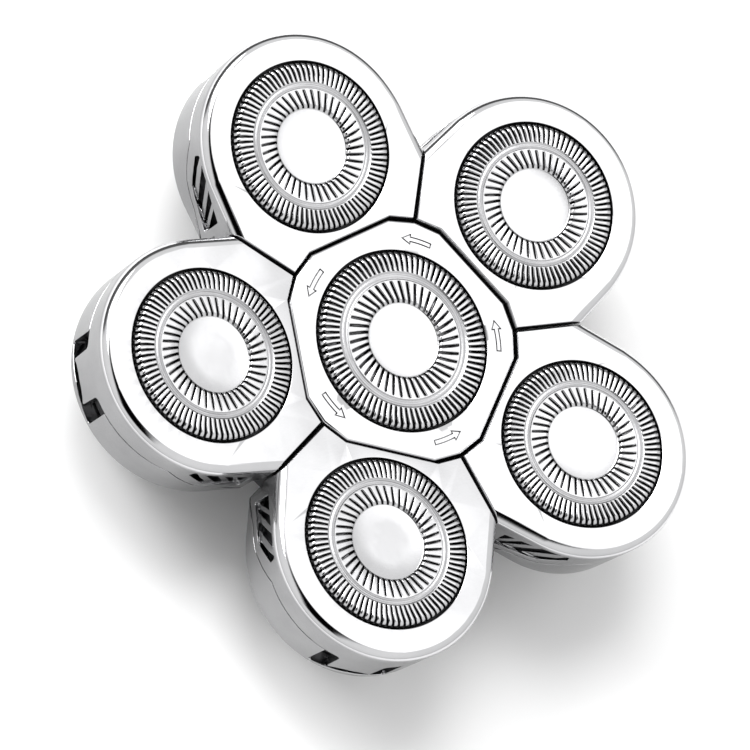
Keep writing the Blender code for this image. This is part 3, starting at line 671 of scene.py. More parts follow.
def slot_line(radius, start, slant):
    """Turn of a slot's line at a radius, so that it leans by slant from the radial direction."""
    return tan(slant) * log(radius / start)


def ring_points(inner_side, share):
    """Fractions of a period and edge drops round one period; share is the slots' part of it."""
    web, starts, pitch = (INNER_WEB, (0.0,), 1.0) if inner_side else (OUTER_WEB, (0.0, 0.5), 0.5)
    points = []
    for start in starts:
        points.append((start, web[0][1]))
        points += [(start + share + at * (pitch - share), drop) for at, drop in web]
    return points


def foil_mesh(warp, shares, flange_cut=None):
    """Slotted cap: two skins a sheet apart, joined round every slot and at the outer rim."""
    (share_in, share_out), outer_share = shares
    periods = OUTER_SLOTS // 2
    per_period = len(INNER_WEB) + 1
    columns = periods * per_period
    first = next(r for r, z, band, drop in FOIL_ROWS if band == "inner")
    final = next(r for r, z, band, drop in FOIL_ROWS if r > first and not band)
    ring_turn = slot_line(7.2, SLANT_FROM, INNER_SLANT)
    outer_from = warp(OUTER_FROM)
    bm = bmesh.new()
    outer_skin, inner_skin = [], []
    for j, (plain, z, band, opened) in enumerate(FOIL_ROWS):
        radius = warp(plain)
        inner_side = plain < RING_CHANGE
        part = min(max((plain - first) / (final - first), 0.0), 1.0)
        share = outer_share
        if inner_side:
            share = share_in + (share_out - share_in) * part
            twist = slot_line(max(radius, 4.5), SLANT_FROM, INNER_SLANT)
        else:
            reach = max(min(radius, warp(10.3)), outer_from)
            twist = ring_turn + slot_line(reach, outer_from, OUTER_SLANT)
        normal = Vector((0.0, 1.0))
        if plain > DOME_START:
            before, after = FOIL_ROWS[j - 1], FOIL_ROWS[min(j + 1, len(FOIL_ROWS) - 1)]
            slope = Vector((warp(after[0]) - warp(before[0]), after[1] - before[1])).normalized()
            normal = Vector((-slope.y, slope.x))
        out_ring, in_ring = [], []
        for p in range(periods):
            for fraction, drop in ring_points(inner_side, share):
                angle = 2 * pi * (p + fraction) / periods + twist
                depth = drop * opened if band != "groove" else 0.0
                for ring, inset in ((out_ring, depth), (in_ring, SHEET / MM)):
                    r = (radius - normal.x * inset) * MM
                    h = (z - normal.y * inset) * MM
                    ring.append(bm.verts.new((*polar(r, angle), h)))
        outer_skin.append(out_ring)
        inner_skin.append(in_ring)

    def open_cell(j, i):
        band = FOIL_ROWS[j][2]
        place = i % per_period
        return ((band in ("inner", "outer") and place == 0)
                or (band == "outer" and place == per_period // 2))

    def face(finish_index, *corners):
        bm.faces.new(corners).material_index = finish_index

    last = len(FOIL_ROWS) - 1
    for j in range(last):
        # Finish 0 is the foil's steel and 2 its groove; 1 is near black, painted shade on the slots'
        # sides, the underside and the cap's lower wall.
        skin = 2 if FOIL_ROWS[j][2] == "groove" else 1 if FOIL_ROWS[j][0] > WALL_START else 0
        for i in range(columns):
            k = (i + 1) % columns
            here, there = outer_skin[j], outer_skin[j + 1]
            below, beyond = inner_skin[j], inner_skin[j + 1]
            if not open_cell(j, i):
                face(skin, here[i], there[i], there[k], here[k])
                face(1, below[k], beyond[k], beyond[i], below[i])
                continue
            face(1, here[i], there[i], beyond[i], below[i])
            face(1, there[k], here[k], below[k], beyond[k])
            if not open_cell(j - 1, i):
                face(1, here[k], here[i], below[i], below[k])
            if not open_cell(j + 1, i):
                face(1, there[i], there[k], beyond[k], beyond[i])
    for i in range(columns):
        k = (i + 1) % columns
        face(1, outer_skin[last][i], inner_skin[last][i], inner_skin[last][k], outer_skin[last][k])
    # The middle of the underside also takes the near-black painted shade.
    for finish_index, skin in ((0, outer_skin), (1, inner_skin)):
        middle = bm.verts.new((0, 0, skin[0][0].co.z))
        for i in range(columns):
            face(finish_index, middle, skin[0][i], skin[0][(i + 1) % columns])
    obj = from_bmesh(bm)
    if flange_cut is not None:
        cut(obj, block(-20 * MM, 20 * MM, -20 * MM, flange_cut, -5 * MM, FLANGE_TOP))
    return finished(obj, "foil")


# ==== Centre head ====

def arrow_outline(shrink):
    """Curved arrow as a closed outline; shrink moves it inwards."""
    half = ARROW_HALF_WIDTH - shrink
    head_half = 2.1 * ARROW_HALF_WIDTH - 1.6 * shrink
    tail = -ARROW_HALF_SWEEP + shrink / ARROW_RADIUS
    neck = 0.35 * ARROW_HALF_SWEEP + shrink / ARROW_RADIUS
    tip = ARROW_HALF_SWEEP - 2.0 * shrink / ARROW_RADIUS
    inner, outer = [], []
    for i in range(7):
        angle = tail + (neck - tail) * i / 6
        inner.append((ARROW_RADIUS - half, angle))
        outer.append((ARROW_RADIUS + half, angle))
    path = inner + [(ARROW_RADIUS - head_half, neck), (ARROW_RADIUS, tip),
                    (ARROW_RADIUS + head_half, neck)] + list(reversed(outer))
    return [polar(r, a) for r, a in path]


def centre_frame_mesh():
    body = flat_prism(centre_outline(), CENTRE_SKIRT_Z, CENTRE_FACE_Z)
    round_top(body, CENTRE_EDGE, lambda middle: 1.0, 6)
    cut(body,
        flat_prism(centre_outline(CENTRE_WALL), 5 * MM, CENTRE_FACE_Z - PLATE),
        cylinder(CENTRE_OPENING, BELOW, ABOVE, sides=160))
    break_edges(body)
    arrows = []
    for k in range(PETALS):
        groove = flat_prism(arrow_outline(0.0), CENTRE_FACE_Z - ARROW_DEPTH, CENTRE_FACE_Z + MM)
        cut(groove, flat_prism(arrow_outline(ARROW_LINE), BELOW, ABOVE))
        arrows.append(moved(groove, Matrix.Rotation(ARROW_ANGLE + k * STEP, 4, "Z")))
    cut(body, *arrows)
    mesh = finished(body, "head_frame")
    # Faces down in the arrow grooves take the darker second finish, painted shade of the recess.
    for face in mesh.polygons:
        x, y, z = face.center
        off = (atan2(y, x) - ARROW_ANGLE + HALF_STEP) % STEP - HALF_STEP
        deep = CENTRE_FACE_Z - ARROW_DEPTH - 0.02 * MM < z < CENTRE_FACE_Z - 0.01 * MM
        beside = abs(hypot(x, y) - ARROW_RADIUS) < 0.95 * MM
        if deep and beside and abs(off) < 1.2 * ARROW_HALF_SWEEP:
            face.material_index = 1
    return mesh


# ==== Retainers, cutters and spindles ====

def retainer_mesh():
    """Inner tray: a plate under the foil, a skirt behind the shell, and the hinge lug."""
    body = prism(petal_outline(TRAY_INSET, TRAY_INSET, 1.0 * MM), level(TRAY_BOTTOM_Z),
                 face_plane(TRAY_TOP))
    inset = TRAY_INSET + TRAY_WALL
    hollow = prism(petal_outline(inset, inset, inset), level(BELOW), face_plane(TRAY_TOP + TRAY_PLATE))
    start = [(-SIDE, 5 * MM), (SIDE, 5 * MM), (SIDE, SHELL_START), (-SIDE, SHELL_START)]
    mouth = prism(start, level(BELOW), face_plane(TRAY_TOP + TRAY_PLATE + 0.1 * MM))
    cut(body, hollow, mouth, tilted_cylinder(HUB_HOLE, -6 * MM, 2 * MM, 96))
    lug = prism([(-LUG_HALF, LUG_IN), (LUG_HALF, LUG_IN), (LUG_HALF, LUG_OUT), (-LUG_HALF, LUG_OUT)],
                level(LUG_Z), face_plane(TRAY_TOP + TRAY_PLATE / 2))
    join(body, lug)
    cut(body, pin_hole())
    break_edges(body)
    return finished(body, "retainer")


def centre_retainer_mesh():
    top = CENTRE_FACE_Z - TRAY_TOP
    body = cylinder(12.5 * MM, top - TRAY_PLATE, top, sides=144)
    join(body, cylinder(GUIDE_OUT, GUIDE_Z, top - TRAY_PLATE / 2, sides=136, turn=0.01))
    cut(body, cylinder(GUIDE_IN, 5 * MM, top - TRAY_PLATE, sides=128, turn=0.02),
        cylinder(HUB_HOLE, BELOW, ABOVE, sides=96))
    break_edges(body)
    return finished(body, "centre_retainer")


def blade(low, high, turn, lean):
    """Upright blade with a raked, chamfered cutting edge, between two radii of the cutter's disc."""
    half, rake = 0.2 * MM, 0.16 * MM
    profile = [(-half - rake, -1.3 * MM), (half - rake, -1.3 * MM), (half, CUTTER_TOP - 0.12 * MM),
               (half - 0.1 * MM, CUTTER_TOP), (-half, CUTTER_TOP)]
    place = (Matrix.Rotation(turn, 4, "Z") @ Matrix.Translation(((low + high) / 2, 0, 0))
             @ Matrix.Rotation(lean, 4, "Z"))
    return moved(side_prism(profile, -(high - low) / 2, (high - low) / 2), place)


def cutter_mesh(disc):
    """Rotor: disc, two rings of blades, a hub and its hexagon socket."""
    body = cylinder(disc, DISC_LOW, DISC_TOP, sides=120)
    blades = []
    for k in range(VISUAL_BLADES):
        turn = 2 * pi * k / VISUAL_BLADES
        blades.append(blade(disc - 1.1 * MM, disc + 0.35 * MM, turn, radians(9)))
        blades.append(blade(5.4 * MM, disc - 2.2 * MM, turn + pi / VISUAL_BLADES,
                            radians(15)))
    join(body, cylinder(HUB, -HUB_DEPTH, -1.4 * MM, sides=64, turn=0.01), *blades)
    cut(body, cylinder(SOCKET, -HUB_DEPTH - MM, -2.0 * MM, sides=6))
    break_edges(body, 0.04 * MM, 1)
    return finished(body, "cutter")


def spindle_mesh(face_z):
    """Telescoping drive rod: hexagon shank, spring collar, thin neck and hexagon head."""
    head_z = face_z - HEAD_DEPTH
    body = cylinder(ROD, ROD_Z0, ROD_Z1, sides=6)
    join(body, cylinder(NECK, ROD_Z1 - 0.5 * MM, head_z, sides=40, turn=0.01),
         cylinder(COLLAR, COLLAR_Z0, COLLAR_Z1, sides=64),
         cylinder(HEAD, head_z - HEAD_HEIGHT / 2, head_z + HEAD_HEIGHT / 2, sides=6, turn=0.002))
    break_edges(body, 0.07 * MM)
    return finished(body, "spindle")


def spring_mesh(z0, z1):
    """Compression coil of round wire, its end turns lying closer together."""
    steps, sides = 48, 10
    count = int(TURNS * steps)
    bm = bmesh.new()
    rings = []
    for i in range(count + 1):
        part = i / count
        eased = part - 0.35 * sin(2 * pi * part) / (2 * pi)
        z = z0 + WIRE + (z1 - z0 - 2 * WIRE) * eased
        angle = 2 * pi * TURNS * part
        ring = []
        for j in range(sides):
            a = 2 * pi * j / sides
            r = COIL + WIRE * cos(a)
            ring.append(bm.verts.new((*polar(r, angle), z + WIRE * sin(a))))
        rings.append(ring)
    for low, high in zip(rings, rings[1:]):
        for j in range(sides):
            k = (j + 1) % sides
            bm.faces.new((low[j], low[k], high[k], high[j]))
    bm.faces.new(rings[0])
    bm.faces.new(rings[-1])
    return finished(from_bmesh(bm), "spring")


# ==== Gears and gearbox ====

def involute(angle):
    return tan(angle) - angle


def gear_outline(teeth):
    """Involute gear outline with a tooth centred on +X."""
    pitch = MODULE * teeth / 2
    base = pitch * cos(PRESSURE)
    half = (pi * MODULE / 2 - BACKLASH) / (2 * pitch) + involute(PRESSURE)
    root, tip = pitch - DEDENDUM, pitch + ADDENDUM
    flank = []
    for i in range(FLANK_STEPS + 1):
        radius = root + (tip - root) * i / FLANK_STEPS
        flank.append((radius, half - involute(acos(min(base / radius, 1.0)))))
    points = []
    for k in range(teeth):
        centre = 2 * pi * k / teeth
        tooth = [(r, centre - a) for r, a in flank] + [(r, centre + a) for r, a in reversed(flank)]
        points += [polar(r, a) for r, a in tooth]
    return points


def planet_gear_mesh():
    body = flat_prism(gear_outline(PLANET_TEETH), GEAR_Z0, GEAR_Z1)
    join(body, cylinder(TUBE, GEAR_Z1 - 0.5 * MM, TUBE_Z - 0.8 * MM, sides=64),
         cylinder(1.6 * MM, 5.1 * MM, GEAR_Z0 + 0.5 * MM, sides=48))
    cut(body, cylinder(BORE, 5.9 * MM, 12 * MM, sides=6))
    break_edges(body, 0.05 * MM)
    return finished(body, "planet_gear")


def sun_gear_mesh():
    """Central gear with its splined boss, five weight-saving pockets and a centre dimple."""
    body = flat_prism(gear_outline(SUN_TEETH), GEAR_Z0, GEAR_Z1)
    spline = []
    for k in range(4 * BOSS_SPLINES):
        radius = BOSS if k % 4 < 2 else BOSS - 0.7 * MM
        spline.append(polar(radius, 2 * pi * (k - 0.5) / (4 * BOSS_SPLINES)))
    join(body, flat_prism(rounded(spline, 0.12 * MM, 3), BOSS_Z, GEAR_Z0 + 0.5 * MM),
         cylinder(TUBE, GEAR_Z1 - 0.5 * MM, TUBE_Z - 0.8 * MM, sides=64))
    pockets = []
    for k in range(PETALS):
        pockets.append(cylinder(4.2 * MM, GEAR_Z0 + 0.8 * MM, GEAR_Z1 + MM,
                                *polar(11 * MM, HALF_STEP + k * STEP), sides=72))
    dimple = turned([(0.0, BOSS_Z + 0.9 * MM), (0.9 * MM, BOSS_Z), (1.3 * MM, BOSS_Z - 0.4 * MM),
                     (0.0, BOSS_Z - 0.4 * MM)], 48)
    cut(body, cylinder(BORE, 6.2 * MM, 12 * MM, sides=6), dimple, *pockets)
    break_edges(body, 0.06 * MM)
    return finished(body, "sun_gear")


def around(count, radius, phase):
    return [polar(radius, phase + 2 * pi * k / count) for k in range(count)]


def planet_places():
    return around(PETALS, GEAR_RADIAL, pi / 2)


def screw_places():
    return around(PETALS, SCREW_RADIAL, pi / 2 - SCREW_ANGLE)


def tower_ring(inner, outer, z0, z1, steps=144):
    return turned([(inner, z0), (outer, z0), (outer, z1), (inner, z1)], steps)


def box_body(grow, z0, z1):
    """Flower-shaped body of the gearbox: round core and five lobes."""
    lobes = [cylinder(LOBE + grow, z0, z1, x, y, sides=96) for x, y in planet_places()]
    return join(cylinder(CORE + grow, z0, z1, sides=160), *lobes)


def screw_bosses(z0, z1):
    return [cylinder(SCREW_BOSS, z0, z1, x, y, sides=40) for x, y in screw_places()]


def near_screw(point):
    """If a point is on the rim of a screw hole."""
    return any(hypot(point.x - x, point.y - y) < 1.1 * SCREW_HOLE for x, y in screw_places())


def gearbox_base_mesh():
    top = LID_Z0 - 0.3 * MM
    body = join(box_body(0.0, FLOOR_Z0, top), *screw_bosses(FLOOR_Z0, top))
    cavity = cut(box_body(-BOX_WALL, FLOOR_Z1, 12 * MM), *screw_bosses(5 * MM, 13 * MM))
    cut(body, cavity, cylinder(BOSS + 0.1 * MM, 4 * MM, 6.5 * MM, sides=96),
        *[cylinder(1.7 * MM, 4.9 * MM, 6.5 * MM, x, y, sides=48) for x, y in planet_places()],
        *[cylinder(SCREW_HOLE, 4 * MM, 12 * MM, x, y, sides=32) for x, y in screw_places()],
        *[moved(tower_ring(RECESS_IN, RECESS_OUT, FLOOR_Z0 - MM, FLOOR_Z0 + RECESS, 96),
                Matrix.Translation((x, y, 0))) for x, y in planet_places()])
    break_edges(body, skip=near_screw)
    return finished(body, "gearbox_base")


def gearbox_cover_mesh():
    """Lid with the centre head's guide tower and a pair of hinge posts for each petal."""
    body = join(box_body(0.0, LID_Z0, LID_Z1), *screw_bosses(LID_Z0, LID_Z1))
    join(body, tower_ring(TOWER_IN, TOWER_OUT, LID_Z1 - 0.3 * MM, TOWER_Z))
    posts = []
    for k in range(PETALS):
        for side in (-1, 1):
            x0, x1 = sorted((side * POST_IN, side * POST_OUT))
            top, low = HINGE_Z + 0.95 * MM, LID_Z1 - 0.3 * MM
            outline = [(HINGE_RADIAL - 1.1 * MM, low), (HINGE_RADIAL + 1.1 * MM, low),
                       (HINGE_RADIAL + 1.1 * MM, top), (HINGE_RADIAL - 1.1 * MM, top)]
            post = side_prism(rounded(outline, [0.0, 0.0, 0.7 * MM, 0.7 * MM]), x0, x1)
            cut(post, pin_hole())
            posts.append(moved(post, Matrix.Rotation(k * STEP, 4, "Z")))
    join(body, *posts)
    cut(body, cylinder(TUBE + 0.2 * MM, 5 * MM, 12 * MM, sides=64),
        *[cylinder(TUBE + 0.2 * MM, 5 * MM, 12 * MM, x, y, 64, 0.1) for x, y in planet_places()],
        *[cylinder(SCREW_HOLE, 5 * MM, 12 * MM, x, y, 32, 0.1) for x, y in screw_places()])
    break_edges(body)
    return finished(body, "gearbox_cover")


def lock_collar_mesh():
    """Rear ring with three bayonet lugs, which plugs onto the handle."""
    body = tower_ring(COLLAR_IN, COLLAR_OUT, 0.0, COLLAR_Z, 180)
    lugs = []
    for k in range(LUGS):
        lug = block(COLLAR_IN - 1.0 * MM, COLLAR_IN + 0.6 * MM, -2 * MM, 2 * MM, 1.0 * MM, 2.2 * MM)
        lugs.append(moved(lug, Matrix.Rotation(radians(30) + 2 * pi * k / LUGS, 4, "Z")))
    groove = tower_ring(COLLAR_OUT - 0.25 * MM, COLLAR_OUT + MM, 2.0 * MM, 2.5 * MM, 176)
    cut(join(body, *lugs), groove)
    break_edges(body, 0.2 * MM, 3)
    return finished(body, "lock_collar")


def cover_screw_mesh():
    """Pan-head screw with a slot and a threaded shank, head down."""
    head = turned([(0.0, 3.5 * MM), (1.0 * MM, 3.5 * MM), (1.35 * MM, 3.6 * MM),
                   (1.5 * MM, 3.82 * MM), (1.5 * MM, 4.3 * MM), (0.0, 4.3 * MM)], 64)
    cut(head, block(-0.2 * MM, 0.2 * MM, -2 * MM, 2 * MM, 3 * MM, 3.9 * MM))
    profile = [(0.0, 4.2 * MM), (SCREW_SHANK - 0.12 * MM, 4.2 * MM)]
    z, step = 4.4 * MM, 0.35 * MM
    while z + step < LID_Z1 - 0.4 * MM:
        profile += [(SCREW_SHANK - 0.12 * MM, z), (SCREW_SHANK, z + step / 2)]
        z += step
    profile += [(SCREW_SHANK - 0.12 * MM, z), (0.3 * MM, LID_Z1 - 0.2 * MM), (0.0, LID_Z1 - 0.2 * MM)]
    join(head, turned(profile, 40))
    break_edges(head, 0.04 * MM, 1)
    return finished(head, "cover_screw")


def hinge_pin_mesh():
    """Round pin along X with chamfered ends."""
    body = turned([(0.0, -4.2 * MM), (PIN - 0.15 * MM, -4.2 * MM), (PIN, -4.05 * MM),
                   (PIN, 4.05 * MM), (PIN - 0.15 * MM, 4.2 * MM), (0.0, 4.2 * MM)], 40)
    return finished(moved(body, Matrix.Rotation(pi / 2, 4, "Y")), "hinge_pin")


def planet_turn(k):
    """Turn that puts a planet's gap over the sun's nearest tooth on their line of centres."""
    line = pi / 2 + k * STEP
    pitch = 2 * pi / SUN_TEETH
    offset = round(line / pitch) * pitch - line
    return line + pi - offset * SUN_TEETH / PLANET_TEETH + pi / PLANET_TEETH


# ==== Materials ====

def feed(tree, socket, value):
    """Set an input, or link it where the value is another node's output."""
    if isinstance(value, bpy.types.NodeSocket):
        tree.links.new(value, socket)
    else:
        socket.default_value = value


def node(tree, kind, **values):
    """New node; its values are attributes or inputs."""
    made = tree.nodes.new(kind)
    for name, value in values.items():
        if hasattr(made, name):
            setattr(made, name, value)
        else:
            feed(tree, made.inputs[name.replace("_", " ")], value)
    return made


def noise(tree, place, scale, detail, roughness):
    return node(tree, "ShaderNodeTexNoise", Vector=place, Scale=scale, Detail=detail,
                Roughness=roughness).outputs["Fac"]


def cloud_ramp(tree, cloud, low, high):
    """Colour that drifts between low and high with a noise."""
    tint = node(tree, "ShaderNodeValToRGB", Fac=cloud)
    for element, position, colour in zip(tint.color_ramp.elements, (0.35, 0.65), (low, high)):
        element.position = position
        element.color = (*colour, 1.0)
    return tint.outputs["Color"]


def smooth_range(tree, source, start, end, low=0.0, high=1.0):
    """Smooth step of a value between start and end."""
    return node(tree, "ShaderNodeMapRange", interpolation_type="SMOOTHSTEP", Value=source,
                From_Min=start, From_Max=end, To_Min=low, To_Max=high).outputs["Result"]


def math_node(tree, operation, *values):
    made = node(tree, "ShaderNodeMath", operation=operation)
    for socket, value in zip(made.inputs, values):
        feed(tree, socket, value)
    return made.outputs["Value"]


def finish(name, low, high, metallic, rough, scale, wave=0.0, grain=0.02, grain_scale=1500.0,
           coat=0.0, walls=None):
    """Procedural finish: colour and roughness drift with noises, bump from waves and fine grain.

    The walls argument gives upright faces darker colours, a painted shade for the dimmer reflections
    they catch, as low colour and high colour, and their own satin roughness.
    """
    material = bpy.data.materials.new(name)
    material.use_nodes = True
    tree = material.node_tree
    place = node(tree, "ShaderNodeTexCoord").outputs
    cloud = noise(tree, place["Object"], scale, 4.0, 0.55)
    tint = cloud_ramp(tree, cloud, low, high)
    stretch = node(tree, "ShaderNodeMapping", Vector=place["Object"], Scale=(1.0, 6.0, 1.0))
    fine = noise(tree, stretch.outputs["Vector"], grain_scale, 3.0, 0.6)
    gloss = node(tree, "ShaderNodeMapRange", Value=fine, From_Min=0.3, From_Max=0.7,
                 To_Min=rough[0], To_Max=rough[1]).outputs["Result"]
    # Upright faces are mixed to darker colours, which is painted shade; only their roughness is a real
    # satin finish.
    if walls is not None:
        wall_shade_low, wall_shade_high, wall_rough = walls
        parts = node(tree, "ShaderNodeSeparateXYZ", Vector=place["Normal"])
        flat = smooth_range(tree, math_node(tree, "ABSOLUTE", parts.outputs["Z"]), 0.2, 0.55)
        blend = node(tree, "ShaderNodeMix", data_type="RGBA")
        wall_shade_tint = cloud_ramp(tree, cloud, wall_shade_low, wall_shade_high)
        for socket, value in ((0, flat), (6, wall_shade_tint), (7, tint)):     # factor and both colours
            feed(tree, blend.inputs[socket], value)
        tint = blend.outputs[2]
        gloss = node(tree, "ShaderNodeMapRange", Value=flat, To_Min=wall_rough,
                     To_Max=gloss).outputs["Result"]
    normal = node(tree, "ShaderNodeBump", Strength=grain, Distance=0.0002, Height=fine).outputs[0]
    if wave > 0.0:
        slow = noise(tree, place["Object"], scale * 0.8, 1.0, 0.4)
        normal = node(tree, "ShaderNodeBump", Strength=wave, Distance=0.001, Height=slow,
                      Normal=normal).outputs[0]
    shader = tree.nodes["Principled BSDF"]
    for socket, value in (("Metallic", metallic), ("Coat Weight", coat), ("Coat Roughness", 0.12),
                          ("Base Color", tint), ("Roughness", gloss), ("Normal", normal)):
        feed(tree, shader.inputs[socket], value)
    return material


def make_materials():
    return {
        # Chrome: its upright faces get darker colours, painted shade for their dimmer reflections.
        "chrome": finish("chrome_plate", (0.60, 0.60, 0.61), (0.67, 0.67, 0.68), 1.0, (0.05, 0.09),
                         110.0, wave=0.12, grain=0.01,
                         walls=((0.25, 0.25, 0.255), (0.31, 0.31, 0.315), 0.25)),
        "foil_steel": finish("foil_steel", (0.58, 0.58, 0.59), (0.68, 0.68, 0.69), 1.0, (0.10, 0.2),
                             120.0, grain=0.03, grain_scale=3000.0),
        "foil_groove": finish("foil_groove", (0.47, 0.47, 0.48), (0.57, 0.57, 0.58), 1.0, (0.3, 0.4),
                              200.0, grain=0.04),
        # Darker steel for the arrow grooves: painted shade of the recess.
        "arrow_groove_shade": finish("arrow_groove_shade", (0.30, 0.30, 0.305), (0.38, 0.38, 0.385), 1.0,
                             (0.35, 0.45), 200.0, grain=0.04),
        # Near black: painted shade for the foil's slots, underside and lower wall.
        "painted_slot_shade": finish("painted_slot_shade", (0.035, 0.035, 0.037), (0.07, 0.07, 0.073), 1.0,
                             (0.4, 0.55), 200.0, grain=0.05),
        # Cutter steel: the steel's own tone darkened by painted shade for its place under the foil.
        "cutter_steel": finish("cutter_steel", (0.20, 0.20, 0.21), (0.34, 0.34, 0.35), 1.0,
                               (0.3, 0.45), 150.0, grain=0.06),
        "spring_steel": finish("spring_steel", (0.30, 0.30, 0.31), (0.46, 0.46, 0.47), 1.0,
                               (0.25, 0.4), 200.0, grain=0.05),
        "tray_plastic": finish("tray_plastic", (0.030, 0.030, 0.032), (0.060, 0.060, 0.063), 0.0,
                               (0.4, 0.55), 90.0, grain=0.15, grain_scale=2500.0),
        "gearbox_plastic": finish("gearbox_plastic", (0.022, 0.022, 0.024), (0.040, 0.040, 0.043),
                                  0.0, (0.42, 0.6), 90.0, grain=0.2, grain_scale=2500.0),
        "gear_acetal": finish("gear_acetal", (0.62, 0.61, 0.57), (0.74, 0.73, 0.69), 0.0,
                              (0.38, 0.5), 90.0, grain=0.08, coat=0.1),
        "screw_steel": finish("screw_steel", (0.48, 0.48, 0.50), (0.66, 0.66, 0.68), 1.0,
                              (0.2, 0.34), 150.0, grain=0.05),
    }


# ==== Stage ====

def studio_world():
    """White surround with a dark backdrop behind the object, a dark card and a soft box above it."""
    world = bpy.data.worlds.new("studio")
    bpy.context.scene.world = world
    world.use_nodes = True
    tree = world.node_tree
    place = node(tree, "ShaderNodeTexCoord").outputs["Generated"]
    height = node(tree, "ShaderNodeSeparateXYZ", Vector=place).outputs["Z"]

    def towards(direction):
        made = node(tree, "ShaderNodeVectorMath", operation="DOT_PRODUCT")
        feed(tree, made.inputs[0], place)
        feed(tree, made.inputs[1], direction)
        return made.outputs["Value"]

    facing = towards((cos(BACKDROP_AZIMUTH), sin(BACKDROP_AZIMUTH), 0.0))
    backdrop = math_node(tree, "MULTIPLY", smooth_range(tree, facing, *BACKDROP_WIDTH),
                         smooth_range(tree, height, *BACKDROP_HEIGHT))
    off_card = math_node(tree, "ABSOLUTE", towards(CARD_SIDE))
    card = math_node(tree, "MAXIMUM", smooth_range(tree, off_card, *CARD_HALF),
                     smooth_range(tree, towards(CARD_AT), *CARD_LENGTH))
    sky = smooth_range(tree, height, *SKY_RISE)
    for shade in (smooth_range(tree, height, *HORIZON),
                  smooth_range(tree, backdrop, 0.0, 1.0, 1.0, BACKDROP_FLOOR), card):
        sky = math_node(tree, "MULTIPLY", sky, shade)
    sky = math_node(tree, "ADD", sky, smooth_range(tree, towards(BLOB_AT), *BLOB))
    background = tree.nodes["Background"]
    feed(tree, background.inputs["Strength"], sky)
    background.inputs["Color"].default_value = (1.0, 1.0, 1.0, 1.0)


def studio():
    """Plain pale floor, the white surround, two large soft lights and the camera."""
    bm = bmesh.new()
    bmesh.ops.create_circle(bm, cap_ends=True, segments=96, radius=FLOOR_HALF)
    floor = from_bmesh(bm)
    floor.name = "floor"
    paper = finish("paper", (0.90, 0.90, 0.90), (0.93, 0.93, 0.93), 0.0, (0.75, 0.9), 3.0, grain=0.02)
    floor.data.materials.append(paper)
    studio_world()

    for name, azimuth, elevation, distance, size, power, glossy in LAMPS:
        light = bpy.data.lights.new(name, "AREA")
        light.size = size
        light.energy = power
        lamp = bpy.data.objects.new(name, light)
        away, rise = polar(distance, radians(elevation))
        lamp.location = (*polar(away, radians(azimuth)), rise)
        lamp.rotation_euler = (-lamp.location).to_track_quat("-Z", "Y").to_euler()
        lamp.visible_glossy = glossy
        bpy.context.scene.collection.objects.link(lamp)

    camera = bpy.data.objects.new("camera", bpy.data.cameras.new("camera"))
    camera.data.lens = CAMERA_LENS
    camera.data.clip_start = 0.01
    camera.location = CAMERA_AT
    camera.rotation_euler = [radians(angle) for angle in CAMERA_TURN]
    bpy.context.scene.collection.objects.link(camera)
    bpy.context.scene.camera = camera
    bpy.context.scene.view_settings.view_transform = "Standard"


# ==== Assembly ====

BODY_OF = {member: body for body, members in frame["record"]["behaviour"]["bodies"].items()
           for member in members}


def place_piece(name, mesh, slot, node_name, matrix=None, others=()):
    """Put a piece in place of its CAD node; others are the finishes of its further faces."""
    mesh = mesh.copy()
    if matrix is not None:
        mesh.transform(matrix)
    finishes = [face.material_index for face in mesh.polygons]
    mesh.materials.clear()
    for key in (slot, *others):
        mesh.materials.append(MATERIALS[key])
    mesh.polygons.foreach_set("material_index", finishes)
    mesh.name = name
    obj = bpy.data.objects.new(name, mesh)
    bpy.context.scene.collection.objects.link(obj)
    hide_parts(node_name)
    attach(obj, BODY_OF[node_name])
    return obj


def press(piece):
    """Give a spring its own copy of its mesh."""
    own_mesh(piece)
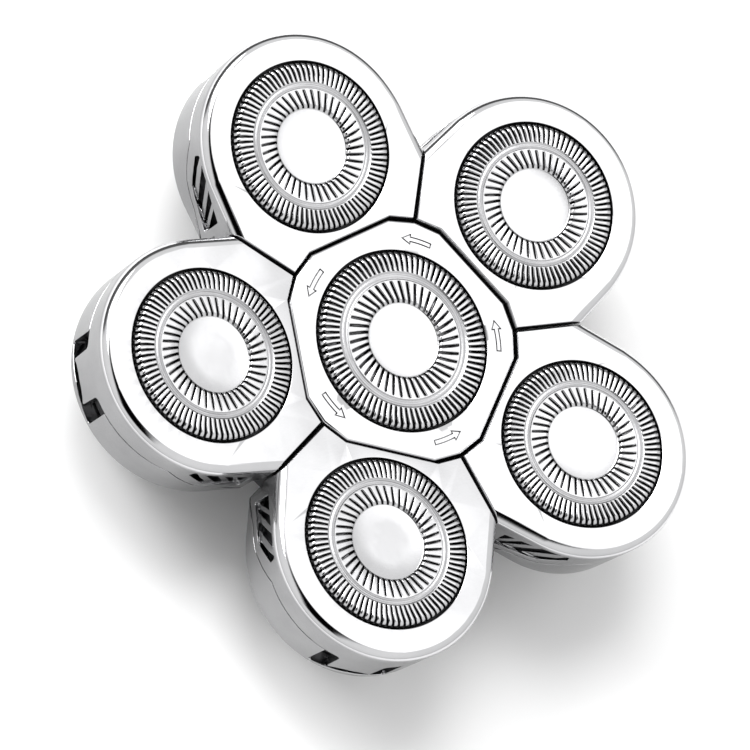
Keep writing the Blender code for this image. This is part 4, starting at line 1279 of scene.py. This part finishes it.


# A foil's second finish is painted shade in its slots, underside and lower wall; its third is the
# groove.
FOIL_FINISHES = ("painted_slot_shade", "foil_groove")
MATERIALS = make_materials()
studio()
cover, shell, retainer = cover_mesh(), shell_mesh(), retainer_mesh()
petal_foil = foil_mesh(petal_warp, PETAL_SHARES, FLANGE_CUT)
rotor, rod, gear = cutter_mesh(CUTTER_DISC), spindle_mesh(FACE_Z), planet_gear_mesh()
coil, pin, screw = spring_mesh(SPRING_Z0, SPRING_Z1), hinge_pin_mesh(), cover_screw_mesh()
screws = screw_places()
for k in range(PETALS):
    n = k + 1
    turn = Matrix.Rotation(k * STEP, 4, "Z")
    spin = Matrix.Rotation(planet_turn(k) - k * STEP, 4, "Z")
    axle = turn @ Matrix.Translation((0, GEAR_RADIAL, 0)) @ spin
    place_piece(f"cover_{n}", cover, "chrome", f"petal_cover_{n}", turn)
    place_piece(f"shell_{n}", shell, "chrome", f"petal_shell_{n}", turn)
    place_piece(f"shaving_foil_{n}", petal_foil, "foil_steel", f"foil_{n}", turn @ foil_matrix(),
                FOIL_FINISHES)
    place_piece(f"retainer_{n}", retainer, "tray_plastic", f"cutter_retainer_{n}", turn)
    place_piece(f"rotary_cutter_{n}", rotor, "cutter_steel", f"cutter_{n}",
                turn @ foil_matrix() @ spin)
    place_piece(f"drive_rod_{n}", rod, "screw_steel", f"spindle_{n}", axle)
    press(place_piece(f"coil_spring_{n}", coil, "spring_steel", f"spindle_spring_{n}", axle))
    place_piece(f"planet_wheel_{n}", gear, "gear_acetal", f"planet_gear_{n}", axle)
    place_piece(f"petal_pin_{n}", pin, "screw_steel", f"hinge_pin_{n}",
                turn @ Matrix.Translation((0, HINGE_RADIAL, HINGE_Z)))
    place_piece(f"base_screw_{n}", screw, "screw_steel", f"cover_screw_{n}",
                Matrix.Translation((*screws[k], 0)) @ Matrix.Rotation(1.1 * n, 4, "Z"))

on_centre = Matrix.Translation((0, 0, CENTRE_FACE_Z))
place_piece("head_frame", centre_frame_mesh(), "chrome", "centre_frame", None, ("arrow_groove_shade",))
place_piece("head_retainer", centre_retainer_mesh(), "tray_plastic", "centre_retainer")
place_piece("head_foil", foil_mesh(centre_warp, CENTRE_SHARES), "foil_steel", "centre_foil",
            on_centre, FOIL_FINISHES)
place_piece("head_cutter", cutter_mesh(CENTRE_CUTTER_DISC), "cutter_steel", "centre_cutter", on_centre)
place_piece("head_rod", spindle_mesh(CENTRE_FACE_Z), "screw_steel", "centre_spindle")
press(place_piece("head_spring", coil, "spring_steel", "centre_spring"))
place_piece("sun_wheel", sun_gear_mesh(), "gear_acetal", "sun_gear")
for name, mesh, node_name in (("gearbox_floor", gearbox_base_mesh(), "gearbox_base"),
                              ("gearbox_lid", gearbox_cover_mesh(), "gearbox_cover"),
                              ("bayonet_collar", lock_collar_mesh(), "lock_collar")):
    place_piece(name, mesh, "gearbox_plastic", node_name)
